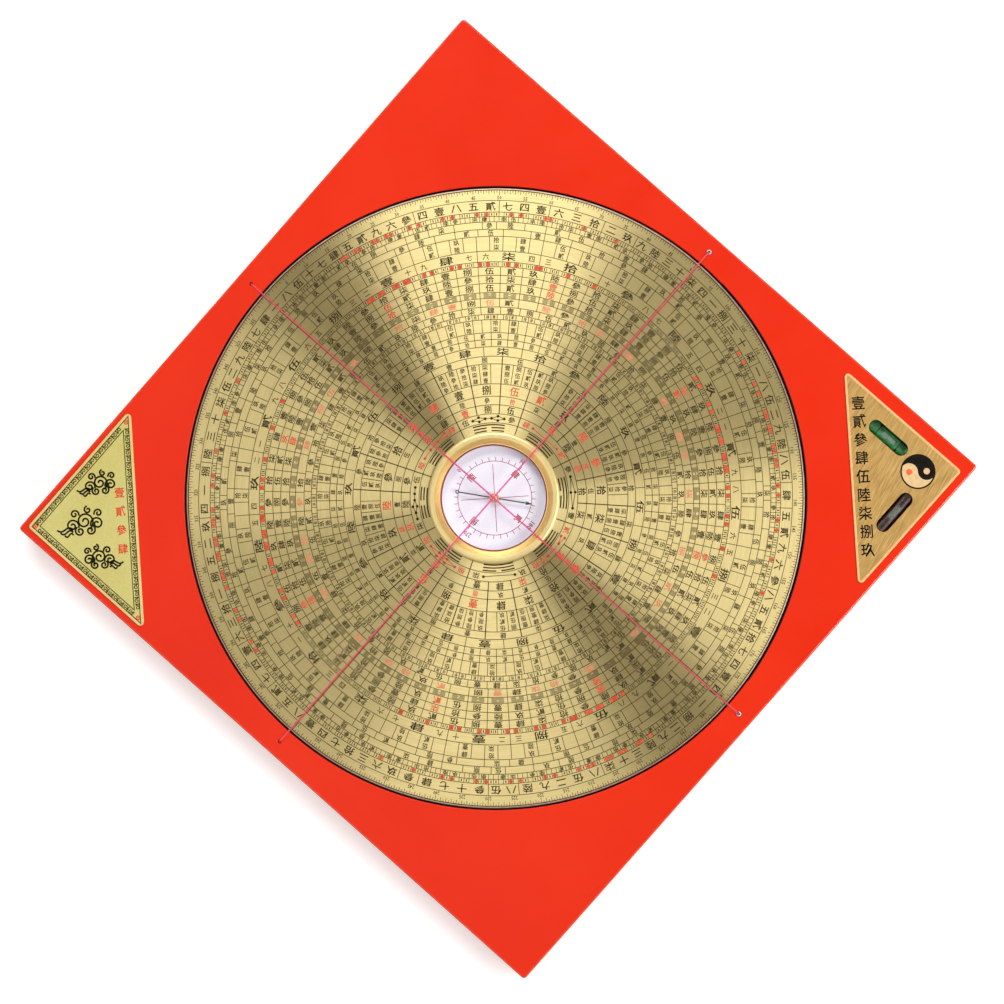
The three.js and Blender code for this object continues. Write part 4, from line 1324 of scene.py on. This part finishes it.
def bezel_ring():
    """Ring with a rolled outer edge, a flat crown and a slope down to the glass."""
    bottom, top = heights("bezel")
    lip_z = high("glass").z + (bottom - DIAL_FACE)
    foot = DIAL_FACE + BEZEL_EDGE_RISE
    profile = [(BEZEL_SEAT_R, bottom), (BEZEL_R, bottom)]
    for angle in np.radians(np.linspace(0, 90, BEZEL_STEPS)):
        radius = BEZEL_CROWN_R + (BEZEL_R - BEZEL_CROWN_R) * math.cos(angle)
        profile.append((radius, foot + (top - foot) * math.sin(angle)))
    profile += [
        (BEZEL_SLOPE_R, top), (BEZEL_INNER_R, top - BEZEL_SLOPE_DROP), (BEZEL_INNER_R, lip_z),
        (BEZEL_SEAT_R, lip_z),
    ]
    # On this one brass ring, the crown's paler colour is a painted highlight and the slope's deeper tan is
    # painted shade.
    ring = finished(turned("bezel_ring", profile, RIM_SIDES), "polished_brass", "dial", "bezel")
    painted(ring, "slope_brass", lambda x, y, z: math.hypot(x, y) < BEZEL_SLOPE_R and z > lip_z)


def compass_housing():
    bottom, top = heights("compass_case")
    outer = high("compass_case").x
    inner = outer - CASE_WALL
    floor_z = bottom + CASE_FLOOR
    profile = [(0, bottom), (outer, bottom), (outer, top), (inner, top), (inner, floor_z), (0, floor_z)]
    cup = finished(turned("compass_cup", profile), "turned_brass", "dial", "compass_case")
    painted(cup, "white_card", lambda x, y, z: math.hypot(x, y) < inner + PRINT_STEP and floor_z < z < top)
    card = ring_profile(CARD_HOLE_R, high("compass_card").x, *heights("compass_card"))
    finished(turned("white_card", card), "white_card", "dial", "compass_card")
    for name, node_name, inner, material in (
        ("gasket_ring", "gasket", VIEW_R, "dark_red_fibre"), ("glass_pane", "glass", 0, "clear_glass"),
    ):
        profile = rounded_profile(inner, high(node_name).x, *heights(node_name), THIN_EDGE_R)
        finished(turned(name, profile), material, "dial", node_name)


def card_printing():
    sheet = Print(CARD_TOP + PRINT_LIFT)
    circle_r = CARD_RING_SHARE * VIEW_R
    sheet.ring(circle_r, CARD_RING_WIDTH)
    for k in range(CARD_TICKS):
        sheet.spoke(360 / CARD_TICKS * k, circle_r, circle_r + CARD_TICK_SHARE * VIEW_R, CARD_LINE_WIDTH)
    size = CARD_SIGN_SHARE * VIEW_R
    wide, tall = (share * VIEW_R for share in CARD_FIGURE_SHARES)
    for k in range(4):
        angle = 90 * k
        sheet.spoke(45 + angle, CARD_CROSS_START, CARD_CROSS_SHARE * VIEW_R, CARD_LINE_WIDTH)
        sheet.polar_sign(FORMAL_NUMERALS[2 * k + 1], CARD_SIGN_PLACE_SHARE * VIEW_R, angle, size, size)
        text = bearing(angle)
        place = CARD_FIGURE_PLACE_SHARE * VIEW_R
        sheet.polar_sign(text, place, angle + CARD_FIGURE_TURN_DEG, wide * len(text), tall)
    sheet.piece("card_printing", "card_ink", "dial", "white_card")


def blade_outline():
    """Outline of the needle's blade along +X: arrow, bar, hub and tail ring."""
    half = NEEDLE_LENGTH / 2
    side = NEEDLE_WIDTH / 2
    hub_deg = math.degrees(math.asin(side / HUB_R))
    tail_deg = math.degrees(math.asin(side / TAIL_RING_R))
    notch_x = half - ARROW_NOTCH_SHARE * ARROW_LENGTH
    upper = [(half, 0), (half - ARROW_LENGTH, ARROW_WIDTH / 2), (notch_x, side)]
    upper += arc_points(0, 0, HUB_R, hub_deg, 180 - hub_deg, SMALL_SIDES // 2)
    upper += arc_points(TAIL_X, 0, TAIL_RING_R, tail_deg, 180, SMALL_SIDES // 4)
    return upper + [(x, -y) for x, y in reversed(upper[1:-1])]


def needle_blade():
    bottom, top = heights("needle_blade")
    hub_hole = circle(0, 0, HUB_BORE_R, SMALL_SIDES)
    tail_hole = circle(TAIL_X, 0, TAIL_RING_HOLE_R, SMALL_SIDES // 2)
    shell = Shell()
    ends = []
    for outline in (blade_outline(), hub_hole, tail_hole):
        ends.append(shell.walls(lambda inset: rotated(outline, NEEDLE_HEADING_DEG), [(0, bottom), (0, top)]))
    for loops in zip(*ends):
        shell.flat(*loops)
    blade = finished(shell.piece("needle"), "blued_steel", "needle", "needle_blade")
    painted(blade, "needle_cap_brass", lambda x, y, z: math.hypot(x, y) < HUB_R)


def cap_profile():
    start, end = heights("needle_cap")
    flange_r = high("needle_cap").x
    flange_z = start + CAP_FLANGE_THICK
    roof = high("needle_jewel").z + (low("needle_blade").z - flange_z)
    profile = [(CAP_BORE_R, start), (flange_r, start), (flange_r, flange_z), (CAP_R, flange_z)]
    return profile + top_edge(CAP_R, end, CAP_EDGE_R) + [(0, end), (0, roof), (CAP_BORE_R, roof)]


def jewel_profile():
    bottom, top = heights("needle_jewel")
    radius = high("needle_jewel").x
    cup = [(0, bottom + JEWEL_CUP_DEPTH), (radius - JEWEL_RIM, bottom)]
    return [*cup, (radius, bottom), (radius, top), (0, top)]


def pin_profile():
    bottom, top = heights("pivot_pin")
    radius = high("pivot_pin").x
    return [(0, bottom), (radius, bottom), (radius, top - PIN_POINT_LENGTH), (0, top)]


def boss_profile():
    bottom, top = heights("pivot_boss")
    radius = high("pivot_boss").x
    seat = low("pivot_pin").z
    foot = [(0, bottom), (BOSS_SHANK_R, bottom), (BOSS_SHANK_R, seat), (radius, seat)]
    bore = [(BOSS_BORE_R, top), (BOSS_BORE_R, CARD_TOP), (0, CARD_TOP)]
    return foot + top_edge(radius, top, BOSS_EDGE_R) + bore


def needle_and_pivot():
    needle_blade()
    for name, profile, material, body, node_name, slot in (
        ("needle_cap_dome", cap_profile(), "needle_cap_brass", "needle", "needle_cap", "turned_brass"),
        ("jewel_bearing", jewel_profile(), "jewel", "needle", "needle_jewel", "jewel"),
        ("pivot_needle_pin", pin_profile(), "polished_steel", "dial", "pivot_pin", "polished_steel"),
        ("pivot_seat", boss_profile(), "needle_cap_brass", "dial", "pivot_boss", "turned_brass"),
    ):
        finished(turned(name, profile, SMALL_SIDES), material, body, node_name)


# Vials

def vial(name, axis):
    """Glass tube with one closed end, its plug, its dyed liquid with two index rings, and its bubble."""
    tube_node = f"{name}_vial_tube"
    centre = middle_of(tube_node)
    half = extent(tube_node)["XY".index(axis)] / 2
    radius = extent(tube_node).z / 2
    bore = radius - VIAL_WALL
    fill_r = bore - VIAL_GAP
    plug_start = half - VIAL_END_WALL
    tube = [(0, -half)] + [(radius - inset, z) for inset, z in edge_rows(VIAL_EDGE_R, -half, 1)]
    tube += [(radius, half), (bore, half), (bore, -plug_start), (0, -plug_start)]
    piece = turned(f"{name}_glass_tube", tube, SMALL_SIDES, axis, centre)
    finished(piece, "vial_glass", "board", tube_node)
    plug = ring_profile(0, fill_r, plug_start, half)
    piece = turned(f"{name}_rubber_plug", plug, SMALL_SIDES, axis, centre)
    finished(piece, "black_rubber", "board", f"{name}_vial_plug")
    liquid(name, axis, centre, fill_r, plug_start - VIAL_GAP)
    for side, place in ((-1, "near"), (1, "far")):
        start = side * INDEX_BAND_PLACE_SHARE * WINDOW_LENGTH - INDEX_BAND_WIDTH / 2
        band = ring_profile(fill_r, bore - VIAL_GAP / 2, start, start + INDEX_BAND_WIDTH)
        piece = turned(f"{name}_index_ring_{place}", band, SMALL_SIDES, axis, centre)
        finished(piece, "black_ink", "board")
    bubble(name, axis)


def liquid(name, axis, centre, radius, half):
    """Round body of liquid with an open channel on top, in which the bubble slides."""
    bubble_node = f"{name}_vial_bubble"
    side = extent(bubble_node).z / 2 + CHANNEL_SIDE_GAP
    floor_y = low(bubble_node).z - centre.z - CHANNEL_SIDE_GAP
    edge_deg = math.degrees(math.acos(side / radius))
    lower = arc_points(0, 0, radius, 180 - edge_deg, 360 + edge_deg, SMALL_SIDES)
    upper = arc_points(0, 0, radius, edge_deg, 180 - edge_deg, SMALL_SIDES // 4)
    round_outline = lower + upper[1:-1]
    channel_half = half - CHANNEL_END_WALL
    shell = Shell()
    for sign in (-1, 1):
        end, _ = shell.walls(lambda size: round_outline, [(0, sign * half), (0, sign * channel_half)])
        shell.flat(end)
        shell.flat(shell.loop(upper + [(-side, floor_y), (side, floor_y)], sign * channel_half))
    notched = lower + [(side, floor_y), (-side, floor_y)]
    shell.walls(lambda size: notched, [(0, -channel_half), (0, channel_half)])
    material = "green_liquid" if name == "green" else "dark_red_liquid"
    finished(shell.piece(f"{name}_dyed_liquid", axis, centre), material, "board", f"{name}_vial_liquid")


def bubble(name, axis):
    bubble_node = f"{name}_vial_bubble"
    size = extent(bubble_node)
    radius = size.z / 2
    straight = size["XY".index(axis)] / 2 - radius
    turns = [math.pi / 2 * i / BUBBLE_STEPS for i in range(BUBBLE_STEPS + 1)]
    profile = [(radius * math.sin(a), -straight - radius * math.cos(a)) for a in turns]
    profile += [(radius * math.cos(a), straight + radius * math.sin(a)) for a in turns]
    piece = turned(f"{name}_air_bubble", profile, SMALL_SIDES, axis, middle_of(bubble_node))
    # The bubble's pale colour is a painted highlight for the light that it mirrors.
    finished(piece, "bubble", f"{name}_bubble", bubble_node)


# Cross threads

def thread_route(crossing_z):
    """Centre line of a thread along X, as x and z, from knot to knot, over the crossing."""
    span_end = ANCHOR - THREAD_BEND_R
    half = [(0, crossing_z), (span_end, THREAD_LEVEL)]
    half += [
        (span_end + THREAD_BEND_R * math.sin(a), THREAD_LEVEL - THREAD_BEND_R * (1 - math.cos(a)))
        for a in np.linspace(0, math.pi / 2, BEND_STEPS + 1)[1:]
    ]
    half.append((ANCHOR, KNOT_LOW))
    return np.array([(-x, z) for x, z in reversed(half[1:])] + half)


def evenly(points, step):
    """The same route in even steps."""
    lengths = np.concatenate([[0], np.cumsum(np.linalg.norm(np.diff(points, axis=0), axis=1))])
    places = np.linspace(0, lengths[-1], round(lengths[-1] / step) + 1)
    return np.stack([np.interp(places, lengths, column) for column in points.T], axis=1)


def tube_points(route, radius, side_axis):
    """Closed tube round a route. side_axis is a direction that the route never takes."""
    sides = PLY_SIDES
    ahead = unit(np.gradient(route, axis=0))
    up = unit(np.cross(ahead, side_axis))
    side = np.cross(up, ahead)
    angles = np.linspace(0, 2 * math.pi, sides, endpoint=False)[None, :, None]
    rings = route[:, None] + radius * (np.cos(angles) * up[:, None] + np.sin(angles) * side[:, None])
    count = len(route)
    faces = []
    for i in range(count - 1):
        for j in range(sides):
            k = (j + 1) % sides
            faces.append((i * sides + j, i * sides + k, (i + 1) * sides + k, (i + 1) * sides + j))
    faces.append(tuple(reversed(range(sides))))
    faces.append(tuple(range((count - 1) * sides, count * sides)))
    return rings.reshape(-1, 3), faces


def knot_route(centre):
    """Line of an overhand knot, drawn tight, about a centre."""
    turns = np.linspace(0, 2 * math.pi, KNOT_STEPS)
    reach = KNOT_R - 2 * THREAD_R
    x = reach / KNOT_SPREAD * (np.sin(turns) + KNOT_LOOP_SHARE * np.sin(2 * turns))
    y = reach / KNOT_SPREAD * (np.cos(turns) - KNOT_LOOP_SHARE * np.cos(2 * turns))
    z = -KNOT_RISE_SHARE * reach * np.sin(3 * turns)
    return np.stack([x, y, z], axis=1) + centre


def thread(name, node_name, along_y, crossing_z):
    """Twisted thread with a knot under the board at each end."""
    route = evenly(thread_route(crossing_z), THREAD_TWIST_PITCH / TWIST_STEPS)
    line = np.insert(route, 1, 0, axis=1)
    ahead = unit(np.gradient(line, axis=0))
    up = np.stack([-ahead[:, 2], ahead[:, 1], ahead[:, 0]], axis=1)
    turn = 2 * math.pi * np.arange(len(route)) / TWIST_STEPS
    parts = []
    for ply in range(THREAD_PLIES):
        phase = (turn + 2 * math.pi * ply / THREAD_PLIES)[:, None]
        shift = (THREAD_R - PLY_R) * (np.cos(phase) * up + np.sin(phase) * (0, 1, 0))
        parts.append(tube_points(line + shift, PLY_R, (0, 1, 0)))
    for end in (-ANCHOR, ANCHOR):
        parts.append(tube_points(knot_route((end, 0, KNOT_Z)), THREAD_R * KNOT_THREAD_SHARE, (0, 0, 1)))
    faces = []
    count = 0
    for part_points, part_faces in parts:
        faces += [tuple(i + count for i in face) for face in part_faces]
        count += len(part_points)
    points = np.vstack([part_points for part_points, _ in parts])
    if along_y:
        points = points[:, [1, 0, 2]] * (-1, 1, 1)
    mesh = bpy.data.meshes.new(name)
    mesh.from_pydata(points.tolist(), [], faces)
    finished(shaded(link(name, mesh)), "pink_nylon", "board", node_name)


def plug_outline(radius, turn_deg, x, y):
    """Round plug with a slot that opens towards the crossing."""
    opening = math.degrees(math.asin(PLUG_SLOT_HALF / radius))
    points = arc_points(0, 0, radius, -180 + opening, 180 - opening, SMALL_SIDES)
    points += [(PLUG_SLOT_HALF, PLUG_SLOT_HALF), (PLUG_SLOT_HALF, -PLUG_SLOT_HALF)]
    return [(x + px, y + py) for px, py in rotated(points, turn_deg)]


def thread_plug(name, node_name, turn_deg, x, y):
    bottom, top = heights(node_name)
    radius = max(extent(node_name).xy) / 2
    dome = PLUG_DOME_SHARE * radius
    full = math.radians(PLUG_DOME_DEG)
    rows = [(radius, bottom)]
    for i in range(EDGE_STEPS + 1):
        angle = full * i / EDGE_STEPS
        lost_share = PLUG_TOP_LOSS_SHARE * (1 - math.cos(angle)) / (1 - math.cos(full))
        rows.append((radius * (1 - lost_share), top - dome + dome * math.sin(angle) / math.sin(full)))
    shell = Shell()
    for end in shell.walls(lambda ring_r: plug_outline(ring_r, turn_deg, x, y), rows):
        shell.flat(end)
    finished(shell.piece(name), "pale_plastic", "board", node_name)


# The plates' printing

def plate_rim(node_name, width, material, slot):
    corners = plate_corners(node_name)
    outlines = [rounded_polygon(corners, PLATE_CORNER_R, inset) for inset in (PLATE_EDGE_R, width)]
    sheet = Print(high(node_name).z + PRINT_LIFT)
    sheet.band(*outlines)
    sheet.piece(f"{node_name}_rim", material, "board", slot)


def yin_yang():
    corner, end, _ = plate_corners("level_plate")
    leg = corner[0] - end[0]
    centre = np.array(corner) - np.array(YIN_YANG_PLACE_SHARES) * leg
    height = high("level_plate").z + PRINT_LIFT
    radius = YIN_YANG_R
    line = YIN_YANG_LINE_SHARE * radius
    ground = Print(height)
    ground.dot(*centre, radius - line, RING_SIDES)
    ground.piece("yin_yang_ground", "pale_ink", "board", "golden_brass")
    lobe = arc_points(0, 0, radius, 0, 180, SMALL_SIDES)
    lobe += arc_points(-radius / 2, 0, radius / 2, 180, 0, SMALL_SIDES // 2)[1:]
    lobe += arc_points(radius / 2, 0, radius / 2, 180, 360, SMALL_SIDES // 2)[1:-1]
    shell = Shell()
    shell.flat(shell.loop(np.array(rotated(lobe, YIN_YANG_TURN_DEG)) + centre, height + PRINT_STEP))
    finished(shell.piece("yin_yang_black_half"), "black_ink", "board")
    outline = Print(height + 2 * PRINT_STEP)
    outline.ring(radius - line / 2, line, *centre, RING_SIDES)
    outline.piece("yin_yang_outline", "black_ink", "board", "golden_brass")
    for side, material in ((-1, "orange_ink"), (1, "pale_ink")):
        place = centre + polar(YIN_YANG_TURN_DEG, side * radius / 2)
        eye = Print(height + 2 * PRINT_STEP)
        eye.dot(*place, YIN_YANG_DOT_SHARE * radius, SMALL_SIDES)
        eye.piece(f"yin_yang_eye_{material}", material, "board", "golden_brass")


def numeral_column(sheet, node_name, count, start, pitch, inset, size):
    """Numerals from one up, along a plate's long edge."""
    corner, *ends = (np.array(place) for place in plate_corners(node_name))
    last, first = sorted(ends, key=lambda place: place[1])
    down = unit(last - first)
    inward = unit(corner - (first + last) / 2)
    for k in range(count):
        place = first + down * (start + pitch * k) + inward * inset
        sheet.sign(FORMAL_NUMERALS[k], place, COLUMN_UP_DEG, size, size)


def level_plate_printing():
    # The level plate's pale rim band is a painted highlight along its edge.
    plate_rim("level_plate", PLATE_RIM_WIDTH, "rim_ink", "golden_brass")
    yin_yang()
    sheet = Print(high("level_plate").z + PRINT_LIFT)
    numeral_column(
        sheet, "level_plate", COLUMN_SIGNS, COLUMN_START, COLUMN_PITCH, COLUMN_INSET, COLUMN_SIGN_SIZE)
    sheet.piece("level_plate_numerals", "black_ink", "board", "golden_brass")


def spiral(x, y, radius, start_deg, turns, inner_share):
    """Points of a curl that winds inwards; turns below 0 wind it clockwise."""
    shares = np.linspace(0, 1, SPIRAL_LEAST_STEPS + round(SPIRAL_STEPS * abs(turns)))
    angles = np.radians(start_deg + 360 * turns * shares)
    radii = radius * (1 - (1 - inner_share) * shares)
    return np.stack([x + radii * np.cos(angles), y + radii * np.sin(angles)], axis=1)


def border_side(sheet, start, end):
    """Running scroll along one side of the plate's border, between its two lines."""
    length = np.linalg.norm(end - start)
    ahead = unit(end - start)
    side = np.array((-ahead[1], ahead[0]))
    turn_deg = math.degrees(math.atan2(ahead[1], ahead[0]))
    count = round(length / SCROLL_PITCH)
    pitch = length / count
    for k in range(count):
        way = 1 if k % 2 else -1
        place = start + ahead * pitch * (k + 0.5)
        start_deg = turn_deg - way * SCROLL_START_DEG
        curl = spiral(*place, SCROLL_CURL_R, start_deg, way * SCROLL_TURNS, SCROLL_INNER_SHARE)
        sheet.stroke(curl, BORDER_LINE_WIDTH)
        leaf = place + ahead * pitch / 2
        foot, tip, bud = (leaf + side * way * share * BORDER_WIDTH for share in SCROLL_LEAF_SHARES)
        sheet.stroke([foot, tip], SCROLL_LEAF_WIDTH)
        sheet.dot(*bud, SCROLL_BUD_R)


def emblem_border(height, corners):
    """Two lines with a running scroll between them, and a rosette in each corner."""
    lines = Print(height)
    rosettes = Print(height)
    for inset in (BORDER_MARGIN, BORDER_MARGIN + BORDER_WIDTH):
        lines.band(drawn_in(corners, inset), drawn_in(corners, inset + BORDER_LINE_WIDTH))
    middle = drawn_in(corners, BORDER_MARGIN + BORDER_WIDTH / 2)
    ends = drawn_in(corners, BORDER_MARGIN + BORDER_WIDTH)
    for k in range(3):
        here, there = middle[k], middle[(k + 1) % 3]
        along = unit(there - here)
        first = here + along * ((ends[k] - here) @ along)
        last = there + along * ((ends[(k + 1) % 3] - there) @ along)
        border_side(lines, first, last)
        rosettes.ring(ROSETTE_R, BORDER_LINE_WIDTH, *here, ROSETTE_SIDES)
        rosettes.dot(*here, ROSETTE_R / 2)
    lines.piece("emblem_border", "border_ink", "board", "pale_brass")
    rosettes.piece("emblem_rosettes", "red_ink", "board", "pale_brass")


def cloud(sheet, place, size, side):
    """Cloud of curls over a trailing tail, in the usual manner of old ornament."""
    lines = [spiral(*values, CLOUD_INNER_SHARE) for values in CLOUD_CURLS]
    shares = np.linspace(0, 1, TAIL_STEPS)
    for row, length_share in enumerate(CLOUD_TAIL_SHARES):
        reach = -CLOUD_TAIL_START - length_share * shares
        sway = -CLOUD_TAIL_PITCH * (row + 2) + CLOUD_TAIL_SWAY * np.sin(shares * 2 * math.pi)
        lines.append(np.column_stack([reach, sway]))
    for line in lines:
        line = np.array(rotated(line * (side * size, size), CLOUD_TURN_DEG))
        sheet.stroke(line + place, CLOUD_LINE_WIDTH)


def emblem_plate_printing():
    plate_rim("emblem_plate", BORDER_MARGIN, "pale_margin", "pale_brass")
    height = high("emblem_plate").z + PRINT_LIFT
    corners = plate_corners("emblem_plate")
    emblem_border(height + PRINT_STEP, corners)
    clouds = Print(height)
    leg = corners[1][0] - corners[0][0]
    for x_share, y_share, size, side in CLOUDS:
        cloud(clouds, np.array(corners[0]) + np.array((x_share, y_share)) * leg, size, side)
    clouds.piece("emblem_clouds", "cloud_ink", "board", "pale_brass")
    red = Print(height)
    start = (math.sqrt(2) * leg - (RED_COLUMN_SIGNS - 1) * RED_COLUMN_PITCH) / 2
    numeral_column(
        red, "emblem_plate", RED_COLUMN_SIGNS, start, RED_COLUMN_PITCH, RED_COLUMN_INSET, RED_SIGN_SIZE)
    red.piece("emblem_red_numerals", "red_ink", "board", "pale_brass")


materials()
camera()
surroundings()
board_body()
corner_plate("level_plate", "golden_brass", [vial_place("green"), vial_place("red")])
corner_plate("emblem_plate", "pale_brass")
dial_face()
dial_printing()
bezel_ring()
compass_housing()
card_printing()
needle_and_pivot()
vial("green", "X")
vial("red", "Y")
thread("thread_along_x", "thread_x", False, THREAD_LEVEL)
thread("thread_along_y", "thread_y", True, THREAD_LEVEL + 2 * THREAD_R + THREAD_LIFT)
thread_plug("plug_x", "thread_plug_x", 0, ANCHOR, 0)
thread_plug("plug_y", "thread_plug_y", 90, 0, ANCHOR)
level_plate_printing()
emblem_plate_printing()
